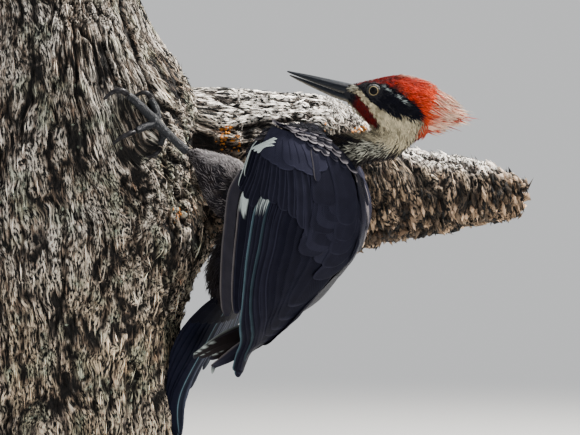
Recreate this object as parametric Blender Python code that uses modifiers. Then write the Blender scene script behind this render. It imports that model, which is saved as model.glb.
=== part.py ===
"""Life-size pileated woodpecker clinging to a cut length of dead snag, on a plain display stand.

Metres, +Z up. The origin is the middle of the base's underside. The bird is laid out in two frames
of its own, in millimetres: the body frame (left, dorsal, headward) and the head frame (forward,
left, up). Lofts between unlike sections are built by hand; everything else starts as a primitive,
a curve or an open sheet with Solidify.
"""

import math

import bmesh
import bpy
from mathutils import Matrix, Vector

MM = 0.001
GAP = 0.35 * MM  # clearance between solids that touch

# Driving dimensions of the bird
BACK_TURN = math.radians(38)  # how far the back is turned to the front, from +X towards -Y
LEAN = math.radians(19)  # how far the body leans off the trunk
BODY_CENTRE = Vector((0.1780, -0.0870, 0.2666))
HEAD_CENTRE = Vector((0.2587, -0.1000, 0.3598))
HEAD_PITCH = math.radians(15.7)  # bill above the horizon
EYE_RADIUS = 6.0  # mm
EYE_PLACE = (15.3, 8.6, 7.9)  # mm forward, left, up in the head frame

# Driving dimensions of the snag and its stand
BASE_RADIUS = 0.150
BASE_THICKNESS = 0.020
ROD_RADIUS = 0.007
ROD_SPREAD = 0.045
LOG_BOTTOM = 0.065
LOG_SIDES = 24
STUB_SIDES = 16
BASE_SIDES = 48


class Frame:
    """An origin and three unit axes; its points are given in millimetres along them."""

    def __init__(self, origin, first, second, third):
        self.origin = origin
        self.axes = (first, second, third)

    def turn(self, a, b, c):
        return self.axes[0] * a + self.axes[1] * b + self.axes[2] * c

    def point(self, a, b, c):
        return self.origin + self.turn(a, b, c) * MM


def body_frame():
    """Left, dorsal and headward of the body."""
    outward = Vector((math.cos(BACK_TURN), -math.sin(BACK_TURN), 0))
    headward = outward * math.sin(LEAN) + Vector((0, 0, math.cos(LEAN)))
    dorsal = outward * math.cos(LEAN) - Vector((0, 0, math.sin(LEAN)))
    return Frame(BODY_CENTRE, dorsal.cross(headward), dorsal, headward)


def head_frame():
    """Forward, left and up of the head."""
    forward = Vector((-math.cos(HEAD_PITCH), 0, math.sin(HEAD_PITCH)))
    up = Vector((math.sin(HEAD_PITCH), 0, math.cos(HEAD_PITCH)))
    return Frame(HEAD_CENTRE, forward, up.cross(forward), up)


BODY = body_frame()
HEAD = head_frame()

MATERIALS = {
    "plumage_black": ((0.035, 0.036, 0.042), 0.62, 0.0),
    "plumage_red": ((0.55, 0.045, 0.03), 0.7, 0.0),
    "plumage_cream": ((0.62, 0.55, 0.42), 0.75, 0.0),
    "bill_horn": ((0.10, 0.11, 0.125), 0.38, 0.0),
    "eye_gloss": ((0.02, 0.02, 0.02), 0.08, 0.0),
    "leg_scale": ((0.13, 0.13, 0.14), 0.6, 0.0),
    "claw_horn": ((0.07, 0.06, 0.06), 0.35, 0.0),
    "snag_bark": ((0.33, 0.28, 0.23), 0.95, 0.0),
    "stand_wood": ((0.20, 0.11, 0.06), 0.45, 0.0),
    "stand_steel": ((0.55, 0.55, 0.56), 0.3, 1.0),
}


def material(name):
    """The Principled material of that name, made once."""
    found = bpy.data.materials.get(name)
    if found:
        return found
    colour, roughness, metallic = MATERIALS[name]
    made = bpy.data.materials.new(name)
    made.use_nodes = True
    shader = made.node_tree.nodes["Principled BSDF"]
    shader.inputs["Base Color"].default_value = (*colour, 1)
    shader.inputs["Roughness"].default_value = roughness
    shader.inputs["Metallic"].default_value = metallic
    made.diffuse_color = (*colour, 1)
    return made


def collection(name):
    """The collection of that name, made once."""
    found = bpy.data.collections.get(name)
    if not found:
        found = bpy.data.collections.new(name)
        bpy.context.scene.collection.children.link(found)
    return found


def add_mesh(name, bm, finish, home="woodpecker"):
    """A named object from a bmesh, with its faces outwards."""
    bmesh.ops.recalc_face_normals(bm, faces=bm.faces)
    mesh = bpy.data.meshes.new(name)
    bm.to_mesh(mesh)
    bm.free()
    mesh.shade_smooth()
    mesh.materials.append(material(finish))
    made = bpy.data.objects.new(name, mesh)
    collection(home).objects.link(made)
    return made


def smooth(keys, steps):
    """Points of a Catmull-Rom curve through the keys, with that many steps between each pair."""
    padded = [keys[0], *keys, keys[-1]]
    points = []
    for before, start, end, after in zip(padded, padded[1:], padded[2:], padded[3:]):
        for step in range(steps):
            t = step / steps
            points.append(
                tuple(
                    0.5 * (2 * q + (r - p) * t + (2 * p - 5 * q + 4 * r - s) * t**2
                           + (3 * q - p - 3 * r + s) * t**3)
                    for p, q, r, s in zip(before, start, end, after)
                )
            )
    points.append(tuple(keys[-1]))
    return points


def ellipse(centre, across, along, half_across, half_along, sides):
    """A ring of points on an ellipse."""
    turns = (2 * math.pi * i / sides for i in range(sides))
    return [
        centre + across * (half_across * math.cos(a)) + along * (half_along * math.sin(a))
        for a in turns
    ]


def loft(name, rings, finish, home="woodpecker"):
    """A closed skin over rings of equal count, with its two ends filled."""
    bm = bmesh.new()
    rows = [[bm.verts.new(p) for p in ring] for ring in rings]
    for low, high in zip(rows, rows[1:]):
        for i, corner in enumerate(low):
            j = (i + 1) % len(low)
            bm.faces.new((corner, low[j], high[j], high[i]))
    bm.faces.new(rows[0])
    bm.faces.new(rows[-1])
    return add_mesh(name, bm, finish, home)


def tube(name, path, radii, finish, sides=8):
    """A closed round tube along a path of points, each with its own radius."""
    rings = []
    side = None
    for i, centre in enumerate(path):
        run = (path[min(i + 1, len(path) - 1)] - path[max(i - 1, 0)]).normalized()
        if side is None:
            side = run.orthogonal().normalized()
        side = (side - run * side.dot(run)).normalized()
        rings.append(ellipse(centre, side, run.cross(side), radii[i], radii[i], sides))
    return loft(name, rings, finish)


def sheet(name, grid, thickness, finish):
    """A solid sheet: an open grid of points with Solidify, laid inwards.

    The thickness falls in a straight line from its first value at the first row to its second at
    the last.
    """
    thick, thin = thickness
    bm = bmesh.new()
    rows = [[bm.verts.new(p) for p in row] for row in grid]
    for low, high in zip(rows, rows[1:]):
        for i in range(len(low) - 1):
            bm.faces.new((low[i], low[i + 1], high[i + 1], high[i]))
    mesh = bpy.data.meshes.new(name)
    bm.to_mesh(mesh)
    bm.free()
    mesh.shade_smooth()
    mesh.materials.append(material(finish))
    made = bpy.data.objects.new(name, mesh)
    collection("woodpecker").objects.link(made)
    share = made.vertex_groups.new(name="thickness")
    across = len(grid[0])
    for i in range(len(grid)):
        along = i / (len(grid) - 1)
        weight = 1 + (thin / thick - 1) * along
        share.add(range(i * across, (i + 1) * across), weight, "REPLACE")
    solid = made.modifiers.new("thickness", "SOLIDIFY")
    solid.thickness = thick
    solid.offset = -1
    solid.vertex_group = share.name
    return made


def ball(name, centre, radius, finish, home="woodpecker"):
    """A sphere."""
    bm = bmesh.new()
    bmesh.ops.create_uvsphere(bm, u_segments=14, v_segments=9, radius=radius)
    bmesh.ops.transform(bm, matrix=Matrix.Translation(centre), verts=bm.verts)
    return add_mesh(name, bm, finish, home)


def swollen(source):
    """A hidden copy of a solid, uncut and grown by the gap, to cut its neighbours. Made once."""
    name = f"{source.name}_cutter"
    made = bpy.data.objects.get(name)
    if made:
        return made
    made = source.copy()
    made.name = name
    made.data = source.data.copy()
    for old in list(made.modifiers):
        if old.type == "BOOLEAN":
            made.modifiers.remove(old)
    grow = made.modifiers.new("grow", "DISPLACE")
    grow.strength = GAP
    grow.mid_level = 0
    made.hide_render = True
    made.display_type = "WIRE"
    collection("cutters").objects.link(made)
    return made


def cut(target, *neighbours):
    """Takes each neighbour, grown by the gap, out of the target."""
    for neighbour in neighbours:
        clear = target.modifiers.new(f"clear_{neighbour.name}", "BOOLEAN")
        clear.operation = "DIFFERENCE"
        clear.solver = "EXACT"
        clear.object = swollen(neighbour)


# Trunk of the body: headward place, dorsal offset, half width, half depth, in mm
TORSO = [
    (77, -6, 14, 15),
    (70, -3, 25, 26),
    (52, 0, 38, 38),
    (26, 2, 46, 44),
    (0, 2, 47, 46),
    (-28, -5, 44, 47),
    (-52, -17, 39, 43),
    (-72, -29, 30, 34),
    (-88, -38, 19, 20),
    (-98, -42, 9, 9),
]

# Neck: right, back and up from the body's centre, and its radius, in mm
NECK = [
    (15, -9, 34, 27),
    (34, -13, 48, 21),
    (51, -14, 55, 16),
    (67, -14, 57.5, 14),
    (82, -13, 61, 15),
    (90, -13, 72, 15),
    (90, -13, 82, 11),
]

# Head: forward place, top, bottom, half width, in mm
SKULL = [
    (41, 6.6, -6.0, 6.6),
    (36, 8.5, -8.5, 8.8),
    (26, 13.8, -13.5, 12.3),
    (16.5, 18.8, -19, 15),
    (7, 24, -23.5, 17),
    (-3, 27.7, -26, 18),
    (-14, 28.8, -27, 17.8),
    (-26, 27.8, -24.5, 15.5),
    (-36, 24.8, -18, 12),
]
CREST = [
    (-36, 24.7, -17.8, 11.9),
    (-44, 21.4, -12, 9),
    (-51, 17.6, -6, 6.5),
    (-59, 13, -1, 4.4),
    (-67.5, 7.6, 5.4, 1.4),
]

# Bill halves: forward place, top, bottom, half width, in mm
BILL_UPPER = [
    (30, 8.4, -1.2, 6.4),
    (44, 7.6, -1.0, 6.4),
    (56, 6.8, -0.1, 5.1),
    (70, 5.9, 1.1, 3.6),
    (82, 4.9, 2.2, 2.2),
    (88.5, 4.3, 3.1, 1.2),
]
BILL_LOWER = [
    (30, -1.8, -7.6, 5.7),
    (44, -1.6, -6.9, 5.8),
    (56, -0.8, -5.2, 4.6),
    (70, 0.3, -2.9, 3.2),
    (80, 1.2, -1.0, 2.0),
    (85.5, 1.6, 0.4, 1.0),
]

# Folded wings: the leading edge runs from the shoulder down the flank to the longest primary, and
# the trailing edge down the back. Each station is a point on the leading edge, one on the trailing
# edge, both outward, dorsal and headward, and the bulge between them, in mm.
WING_LEFT = [
    ((30, -18, 75), (20, 8, 75), 9),
    ((44, -25, 57), (15, 29, 59), 19),
    ((52, -25, 34), (12, 45, 33), 27),
    ((55, -27, 13), (10, 52, 8), 30),
    ((54, -24, -15), (8, 52, -14), 30),
    ((49, -23, -43), (5, 44, -38), 27),
    ((40, -20, -78), (2, 33, -64), 21),
    ((30, -17, -101), (0, 20, -90), 13),
    ((10, -14, -120), (-4, 6, -111), 7),
    ((2, -14, -137), (-6, -8, -129), 3),
    ((-7, -15, -150), (-11, -14, -151), 0.6),
]
# The right shoulder hangs lower, and the right wing's tip passes under the left one's
WING_RIGHT = [
    ((31, -18, 56), (20, 8, 58), 9),
    ((44, -25, 46), (16, 28, 48), 18),
    ((52, -25, 30), (13, 44, 28), 26),
    *WING_LEFT[3:7],
    ((18, -27, -96), (0, 20, -90), 13),
    ((-2, -30, -110), (4, 0, -118), 7),
    ((-20, -32, -124), (5, -20, -138), 4),
    ((-36, -33.5, -137), (2, -38, -153), 1),
]
COVERT_KEYS = 5  # the first keys carry the coverts and the arm, the rest the flight feathers
WING_POINTS = 10  # across a wing, from edge to edge
COVERT_THICKNESS = (7 * MM, 4.5 * MM)
FLIGHT_THICKNESS = (3.5 * MM, 1.2 * MM)

# Tail: headward place, dorsal offset, left offset, half width, half thickness, in mm
TAIL = [
    (-82, -37, 0, 13, 6),
    (-95, -43, 1, 21, 5),
    (-120, -50, 3, 27, 3.8),
    (-150, -54, 4, 26, 3),
    (-178, -56, 4, 18, 2.4),
    (-203, -56, 2, 9, 1.8),
    (-223, -54, -1.5, 3.5, 1.2),
]

# Legs: right, back and up from the body's centre, and the radius, in mm
THIGH_LEFT = [
    (-30, -6, 2, 20),
    (-44, -8, 15, 25),
    (-57, -6, 29, 23),
    (-68, -2, 39, 16.5),
    (-78, 2, 48, 9),
    (-88, 5, 52.5, 4.2),
]
THIGH_RIGHT = [
    (2, 20, -6, 22),
    (-4, 32, -2, 19),
    (-9, 42, 3, 13),
    (-13, 50, 7, 7.5),
    (-14.5, 52.5, 9, 4.2),
]
TARSUS_LEFT = [
    (-85.5, 4.2, 51, 1.2),
    (-90, 5.5, 54.5, 3.3),
    (-97, 6.5, 61, 2.9),
    (-106, 5.5, 69.5, 3.1),
    (-114.5, 4.4, 77.5, 4.0),
]
TARSUS_RIGHT = [
    (-12.5, 49.5, 6.5, 1.2),
    (-14.5, 53, 11.5, 3.3),
    (-14, 55, 19, 2.9),
    (-14, 57, 31, 3.1),
    (-14, 58.5, 42, 4.0),
]

# Toes: stations across and up the snag from the toe base, in mm, and the radius at each
TOES = {
    "outer_front": [(-3, 2, 3.4), (-10, 9, 3.3), (-18, 18, 2.9), (-24, 23, 2.6)],
    "inner_front": [(-1, 3, 3.1), (-2, 11, 2.9), (-6, 19, 2.4)],
    "outer_back": [(-3, -1, 3.0), (-10, -3, 2.7), (-17, -6.5, 2.3)],
    "hallux": [(2, -4, 2.7), (4, -12, 2.5), (2, -19, 2.1)],
}
# Claws: further stations past the toe's end; the middle ones stand off the bark
CLAWS = {
    "outer_front": [
        (-26.5, 24.5, 2.5, 2.3),
        (-32, 27.5, 5.5, 1.9),
        (-38.5, 26, 4.5, 1.3),
        (-43, 20, 0.2, 0.5),
    ],
    "inner_front": [
        (-7.5, 21, 2.2, 2.0),
        (-11, 25, 4.2, 1.6),
        (-15.5, 25, 3.4, 1.1),
        (-18.5, 21.5, 0.2, 0.5),
    ],
    "outer_back": [
        (-19.5, -7.5, 2.0, 1.9),
        (-25, -9, 4.2, 1.6),
        (-31, -12.5, 3.4, 1.1),
        (-35.5, -17.5, 0.2, 0.5),
    ],
    "hallux": [
        (1, -21.5, 1.9, 1.7),
        (-1.5, -25, 3.2, 1.4),
        (-5, -27.5, 2.6, 1.0),
        (-8, -28.5, 0.2, 0.5),
    ],
}

# Snag: height above its cut, middle X, half width, half depth, in mm
SNAG = [
    (0, -26, 105, 105),
    (50, -26, 104, 105),
    (110, -24, 108, 106),
    (170, -20, 118, 110),
    (240, -19, 120, 112),
    (300, -24, 119, 108),
    (345, -36, 101, 100),
    (380, -42, 90, 92),
    (421, -45, 86, 88),
]
# Stub of the branch: X, Y, height above the snag's cut, half height, half depth, in mm
STUB = [
    (-20, 8, 236, 50, 50),
    (60, 16, 241, 65, 56),
    (150, 28, 236, 67, 53),
    (217, 34, 230, 66, 46),
    (247, 36, 220, 52, 42),
    (278, 38, 215, 39, 37),
    (306, 40, 214, 34, 33),
    (338, 42, 215, 27, 28),
    (363, 44, 213, 20, 22),
    (381, 45, 209, 10, 12),
]


def build_torso():
    rings = [
        ellipse(BODY.point(0, dorsal, headward), BODY.axes[0], BODY.axes[1], wide * MM, deep * MM, 18)
        for headward, dorsal, wide, deep in smooth(TORSO, 2)
    ]
    return loft("trunk", rings, "plumage_black")


def limb(name, keys, finish, sides, steps=2):
    """A tapering round solid through stations given from the body's centre."""
    stations = smooth(keys, steps)
    path = [BODY_CENTRE + Vector(station[:3]) * MM for station in stations]
    return tube(name, path, [station[3] * MM for station in stations], finish, sides)


def head_rings(keys, sides, steps=2):
    """Upright egg-shaped rings along the head's forward axis."""
    return [
        ellipse(
            HEAD.point(forward, 0, (top + bottom) / 2),
            HEAD.axes[1],
            HEAD.axes[2],
            wide * MM,
            (top - bottom) / 2 * MM,
            sides,
        )
        for forward, top, bottom, wide in smooth(keys, steps)
    ]


def build_head():
    """The head with its eye sockets, the crest, the two halves of the bill, and the eyes."""
    head = loft("head", head_rings(SKULL, 18), "plumage_black")
    crest = loft("crest", head_rings(CREST, 16), "plumage_red")
    upper = loft("bill_upper", head_rings(BILL_UPPER, 12), "bill_horn")
    lower = loft("bill_lower", head_rings(BILL_LOWER, 12), "bill_horn")
    forward, left, up = EYE_PLACE
    for side, name in ((1, "eye_left"), (-1, "eye_right")):
        eye = ball(name, HEAD.point(forward, side * left, up), EYE_RADIUS * MM, "eye_gloss")
        cut(head, eye)
    cut(crest, head)
    cut(upper, head)
    cut(lower, head)
    return head


def wing_rows(side, stations, steps):
    """Rows of points over a folded wing's outer face, each from leading to trailing edge."""
    rows = []
    for key in smooth([(*lead, *trail, bulge) for lead, trail, bulge in stations], steps):
        lead, trail, bulge = Vector(key[0:3]), Vector(key[3:6]), key[6]
        out = Vector((trail.y - lead.y, lead.x - trail.x, 0)).normalized()
        row = []
        for i in range(WING_POINTS + 1):
            across = i / WING_POINTS
            arch = math.sin(math.pi * across) ** 0.8
            place = lead.lerp(trail, across) + out * (bulge * arch)
            row.append(BODY.point(side * place.x, place.y, place.z))
        rows.append(row if side > 0 else row[::-1])
    return rows


def build_wing(name, side, stations):
    """A folded wing in two solids: the arm under its coverts, and the flight feathers."""
    steps = 2
    rows = wing_rows(side, stations, steps)
    split = (COVERT_KEYS - 1) * steps
    arm = sheet(f"wing_{name}", rows[: split + 1], COVERT_THICKNESS, "plumage_black")
    flight = sheet(f"flight_{name}", rows[split:], FLIGHT_THICKNESS, "plumage_black")
    cut(flight, arm)
    return arm, flight


def build_tail():
    """Stiff fan: a slightly arched blade that narrows to the tips."""
    rings = [
        ellipse(BODY.point(left, dorsal, headward), BODY.axes[0], BODY.axes[1], wide * MM, thick * MM, 14)
        for headward, dorsal, left, wide, thick in smooth(TAIL, 2)
    ]
    return loft("tail", rings, "plumage_black")


def along_keys(keys, place, column):
    """The value in a column of a key table at a place along its first column."""
    for low, high in zip(keys, keys[1:]):
        if place <= high[0]:
            break
    share = (place - low[0]) / (high[0] - low[0])
    return low[column] + (high[column] - low[column]) * share


def off_snag(x, z, lift):
    """The point that far off the snag's front, in metres, above its bark at a world X and Z."""
    middle, wide, deep = (along_keys(smooth(SNAG, 2), (z - LOG_BOTTOM) / MM, i) * MM for i in (1, 2, 3))
    share = min(abs(x - middle) / wide, 0.99)
    y = -deep * math.sqrt(1 - share * share)
    normal = Vector(((x - middle) / wide**2, y / deep**2, 0)).normalized()
    return Vector((x, y, z)) + normal * lift


def off_stub(x, z, lift):
    """The point that far off the branch stub's front, in metres, above its bark at a world X and Z."""
    middle, height, high, deep = (along_keys(smooth(STUB, 2), x / MM, i) * MM for i in (1, 2, 3, 4))
    rise = z - LOG_BOTTOM - height
    share = min(abs(rise) / high, 0.99)
    fall = -deep * math.sqrt(1 - share * share)
    normal = Vector((0, fall / deep**2, rise / high**2)).normalized()
    return Vector((x, middle + fall, z)) + normal * lift


def build_foot(name, side, base, off_bark):
    """Four toes, two up and two down, each with its claw, lying on the bark in front."""
    parts = []

    def station(across, up, lift, radius):
        x, z = base.x + side * across * MM, base.z + up * MM
        return off_bark(x, z, (radius + lift) * MM + GAP)

    for digit, stations in TOES.items():
        steps = [(across, up, 0, radius) for across, up, radius in smooth(stations, 2)]
        claw_steps = smooth(CLAWS[digit], 2)
        toe, claw = (
            tube(
                f"{kind}_{digit}_{name}",
                [station(*step) for step in run],
                [step[3] * MM for step in run],
                finish,
                sides,
            )
            for kind, run, finish, sides in (
                ("toe", steps, "leg_scale", 8),
                ("claw", claw_steps, "claw_horn", 6),
            )
        )
        cut(claw, toe)
        for other_toe, other_claw in parts:
            cut(toe, other_toe)
            cut(claw, other_toe, other_claw)
        parts.append((toe, claw))
    return parts


def build_snag():
    """The cut length of dead trunk, with its broken branch as one solid."""
    trunk_rings = [
        ellipse(
            Vector((x * MM, 0, LOG_BOTTOM + z * MM)),
            Vector((1, 0, 0)),
            Vector((0, 1, 0)),
            wide * MM,
            deep * MM,
            LOG_SIDES,
        )
        for z, x, wide, deep in smooth(SNAG, 2)
    ]
    snag = loft("perch_snag", trunk_rings, "snag_bark")
    stub_rings = [
        ellipse(
            Vector((x * MM, y * MM, LOG_BOTTOM + z * MM)),
            Vector((0, 1, 0)),
            Vector((0, 0, 1)),
            deep * MM,
            high * MM,
            STUB_SIDES,
        )
        for x, y, z, high, deep in smooth(STUB, 2)
    ]
    stub = loft("perch_stub", stub_rings, "snag_bark", "cutters")
    stub.hide_render = True
    stub.display_type = "WIRE"
    join = snag.modifiers.new("stub", "BOOLEAN")
    join.operation = "UNION"
    join.solver = "EXACT"
    join.object = stub
    return snag


def build_stand():
    """A turned wooden base with two steel rods up to the snag's cut."""
    bevel = 4 * MM
    profile = [
        (0, 0),
        (BASE_RADIUS - bevel / 2, 0),
        (BASE_RADIUS, bevel / 2),
        (BASE_RADIUS, BASE_THICKNESS - bevel),
        (BASE_RADIUS - bevel, BASE_THICKNESS),
        (0, BASE_THICKNESS),
    ]
    bm = bmesh.new()
    points = [bm.verts.new((radius, 0, height)) for radius, height in profile]
    for low, high in zip(points, points[1:]):
        bm.edges.new((low, high))
    mesh = bpy.data.meshes.new("stand_base")
    bm.to_mesh(mesh)
    bm.free()
    mesh.materials.append(material("stand_wood"))
    base = bpy.data.objects.new("stand_base", mesh)
    collection("woodpecker").objects.link(base)
    turn = base.modifiers.new("turn", "SCREW")
    turn.steps = BASE_SIDES
    turn.render_steps = BASE_SIDES
    turn.use_merge_vertices = True
    turn.merge_threshold = 1e-6
    turn.use_normal_calculate = True

    length = LOG_BOTTOM - BASE_THICKNESS - 2 * GAP
    for number, side in ((1, -1), (2, 1)):
        bm = bmesh.new()
        bmesh.ops.create_cone(
            bm, cap_ends=True, segments=20, radius1=ROD_RADIUS, radius2=ROD_RADIUS, depth=length
        )
        middle = Vector((SNAG[0][1] * MM + side * ROD_SPREAD, 0, (BASE_THICKNESS + LOG_BOTTOM) / 2))
        bmesh.ops.transform(bm, matrix=Matrix.Translation(middle), verts=bm.verts)
        add_mesh(f"stand_rod_{number}", bm, "stand_steel")


def main():
    for old in list(bpy.data.objects):
        bpy.data.objects.remove(old)
    torso = build_torso()
    neck = limb("neck", NECK, "plumage_cream", 14)
    head = build_head()
    wings = [build_wing("left", 1, WING_LEFT), build_wing("right", -1, WING_RIGHT)]
    arms, flights = zip(*wings)
    tail = build_tail()
    thighs = [
        limb("thigh_left", THIGH_LEFT, "plumage_black", 14),
        limb("thigh_right", THIGH_RIGHT, "plumage_black", 14),
    ]
    tarsi = [
        limb("tarsus_left", TARSUS_LEFT, "leg_scale", 10),
        limb("tarsus_right", TARSUS_RIGHT, "leg_scale", 10),
    ]
    snag = build_snag()
    build_stand()
    left_base = BODY_CENTRE + Vector(TARSUS_LEFT[-1][:3]) * MM
    right_base = BODY_CENTRE + Vector(TARSUS_RIGHT[-1][:3]) * MM
    feet = [
        build_foot("left", 1, left_base, off_snag),
        build_foot("right", -1, right_base, off_stub),
    ]

    cut(flights[1], flights[0])
    cut(torso, *arms, *flights)
    cut(neck, head, torso, *arms)
    for thigh in thighs:
        cut(thigh, torso, *arms, *flights)
    cut(tail, torso, *flights)
    for tarsus, thigh, foot in zip(tarsi, thighs, feet):
        cut(tarsus, thigh)
        for toe, claw in foot:
            cut(toe, tarsus)
            cut(claw, tarsus)


main()
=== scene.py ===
"""Looks of a life-size pileated woodpecker on a cut length of dead snag, held by a display stand.

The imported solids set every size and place. One skin replaces the bird's nodes of flesh, and the
plumage lies over it as solid mesh: small feathers strewn over the skin, and flight feathers,
coverts and tail feathers laid out one by one.
"""

from __future__ import annotations

import logging
import math
from dataclasses import dataclass, field
from enum import Enum
from functools import cache
from typing import Callable, Iterable, Sequence

import bmesh
import bpy
import numpy as np
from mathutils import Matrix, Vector
from mathutils.bvhtree import BVHTree
from mathutils.kdtree import KDTree

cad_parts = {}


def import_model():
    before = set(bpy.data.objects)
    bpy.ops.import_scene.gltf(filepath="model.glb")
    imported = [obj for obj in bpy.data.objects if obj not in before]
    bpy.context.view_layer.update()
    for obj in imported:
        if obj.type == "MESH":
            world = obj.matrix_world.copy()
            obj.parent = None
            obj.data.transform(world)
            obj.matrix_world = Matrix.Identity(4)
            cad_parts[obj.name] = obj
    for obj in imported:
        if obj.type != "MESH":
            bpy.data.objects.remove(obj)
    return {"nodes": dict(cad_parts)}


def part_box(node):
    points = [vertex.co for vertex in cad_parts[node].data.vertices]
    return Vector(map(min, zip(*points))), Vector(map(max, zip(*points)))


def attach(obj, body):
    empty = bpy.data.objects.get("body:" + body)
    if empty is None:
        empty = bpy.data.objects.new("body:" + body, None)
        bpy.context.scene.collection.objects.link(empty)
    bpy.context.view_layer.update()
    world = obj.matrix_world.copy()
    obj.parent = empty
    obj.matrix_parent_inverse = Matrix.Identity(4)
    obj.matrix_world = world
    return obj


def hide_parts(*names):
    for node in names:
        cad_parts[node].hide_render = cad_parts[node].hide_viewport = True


Array = np.ndarray
Block = tuple[Array, Array, Array]  # places, faces, and values such as colours
Socket = bpy.types.NodeSocket
MM = 0.001
LOG = logging.getLogger("woodpecker")
BODY_NAME = "root"
SKY = (0.80, 0.81, 0.82)
SKY_LEVEL = 0.85
PATCH = 0.003  # width of a tuft's patch on the bake map
TOES = ("outer_front", "inner_front", "outer_back", "hallux")
BACK_TURN = math.radians(38)
LEAN = math.radians(19)
BODY_CENTRE = np.array([0.1780, -0.0870, 0.2666])
HEAD_PITCH = math.radians(15.7)
EYE_FORWARD, EYE_SIDE, EYE_UP, EYE_RADIUS = 15.3, 8.6, 7.9, 6.0  # mm in the head's axes


# ---- Vectors, noise and curves ---------------------------------------------------------------


def unit(vectors: Array) -> Array:
    """The vectors at length one."""
    return vectors / np.maximum(np.linalg.norm(vectors, axis=-1, keepdims=True), 1e-12)


def ramp(values: Array, low: float, high: float) -> Array:
    """A smooth step from 0 at low to 1 at high."""
    share = np.clip((values - low) / (high - low), 0.0, 1.0)
    return share * share * (3.0 - 2.0 * share)


def mix(first: Array, second: Array, share: Array) -> Array:
    """A blend of two arrays, whole second where the share is 1."""
    return first + (second - first) * share


def noise(points: Array, size: float | Sequence[float], seed: int) -> Array:
    """Smooth value noise from -1 to 1.

    Args:
        points: Places, one row each.
        size: The size of a lump, one number or one for each axis.
        seed: Any number; another one gives another pattern.

    Returns:
        One value for each place.
    """
    scaled = points / np.asarray(size)
    cell = np.floor(scaled).astype(np.int64)
    part = scaled - cell
    part = part * part * (3.0 - 2.0 * part)
    total = np.zeros(len(points))
    for corner in range(8):
        offset = np.array([corner & 1, (corner >> 1) & 1, corner >> 2])
        x, y, z = (cell + offset).T
        key = (x * 73_856_093 ^ y * 19_349_663 ^ z * 83_492_791) + seed * 2_654_435_761
        key = (key ^ (key >> 13)) * 1_274_126_177 & 0x7FFFFFFF
        value = (key ^ (key >> 16)) % 65_536 / 32_767.5 - 1.0
        total += value * np.prod(np.where(offset == 1, part, 1.0 - part), axis=1)
    return total


def layered(points: Array, size: float, seed: int) -> Array:
    """Noise with two finer layers on top, each half as big and half as strong."""
    layers = [noise(points, size / 2**octave, seed + octave) / 2**octave for octave in range(3)]
    return sum(layers) / 1.75


def through(keys: Array, places: Array) -> Array:
    """A Catmull-Rom curve through rows of keys.

    Args:
        keys: One row for each key.
        places: Places along the curve; 0 is the first key, 1 the second, and so on.

    Returns:
        One row for each place.
    """
    keys = np.asarray(keys, float)
    last = len(keys) - 1
    start = np.clip(np.floor(places).astype(int), 0, last - 1)
    t = (places - start)[:, None]
    p, q, r, s = (keys[np.clip(start + shift, 0, last)] for shift in (-1, 0, 1, 2))
    return 0.5 * (
        2 * q + (r - p) * t + (2 * p - 5 * q + 4 * r - s) * t**2 + (3 * q - p - 3 * r + s) * t**3
    )


@dataclass(frozen=True)
class Axes:
    """An origin and three unit axes, with places given in millimetres along them."""

    origin: Array
    axes: Array

    def world(self, local: Array) -> Array:
        """World places of rows given in millimetres along the axes."""
        return self.origin + np.asarray(local, float) @ self.axes * MM

    def local(self, world: Array) -> Array:
        """Millimetres along the axes of world places."""
        return (world - self.origin) @ self.axes.T / MM

    def turn(self, local: Sequence[float]) -> Array:
        """The world direction of one given along the axes."""
        return np.asarray(local, float) @ self.axes


def body_axes() -> Axes:
    """The bird's left, dorsal and headward directions, from the middle of its trunk.

    Returns:
        The axes.
    """
    outward = np.array([math.cos(BACK_TURN), -math.sin(BACK_TURN), 0.0])
    headward = outward * math.sin(LEAN) + np.array([0.0, 0.0, math.cos(LEAN)])
    dorsal = outward * math.cos(LEAN) - np.array([0.0, 0.0, math.sin(LEAN)])
    return Axes(BODY_CENTRE, np.array([np.cross(dorsal, headward), dorsal, headward]))


def box_middle(node: str) -> Array:
    """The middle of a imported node's box."""
    return np.mean(np.array(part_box(node), float), axis=0)


def head_axes() -> Axes:
    """The head's forward, left and up directions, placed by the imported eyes.

    Returns:
        The axes.
    """
    forward = np.array([-math.cos(HEAD_PITCH), 0.0, math.sin(HEAD_PITCH)])
    up = np.array([math.sin(HEAD_PITCH), 0.0, math.cos(HEAD_PITCH)])
    middle = (box_middle("eye_left") + box_middle("eye_right")) / 2
    origin = middle - forward * EYE_FORWARD * MM - up * EYE_UP * MM
    return Axes(origin, np.array([forward, np.cross(up, forward), up]))


# ---- Meshes ----------------------------------------------------------------------------------


def linked(name: str, mesh: bpy.types.Mesh) -> bpy.types.Object:
    """A mesh as an object in the scene.

    Args:
        name: The object's name.
        mesh: Its data.

    Returns:
        The object.
    """
    piece = bpy.data.objects.new(name, mesh)
    bpy.context.scene.collection.objects.link(piece)
    return piece


def settled(piece: bpy.types.Object, slot: str, *nodes: str) -> None:
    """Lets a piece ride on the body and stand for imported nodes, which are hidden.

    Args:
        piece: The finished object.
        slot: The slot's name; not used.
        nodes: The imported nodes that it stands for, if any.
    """
    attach(piece, BODY_NAME)
    if nodes:
        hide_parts(*nodes)
    LOG.info("%s: %d faces", piece.name, len(piece.data.polygons))


def dressed(mesh: bpy.types.Mesh, *materials: bpy.types.Material) -> None:
    """Shades a mesh smoothly and gives it its materials.

    Args:
        mesh: The mesh.
        materials: Its materials, in slot order.
    """
    mesh.shade_smooth()
    mesh.materials.clear()
    for material in materials:
        mesh.materials.append(material)


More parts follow.
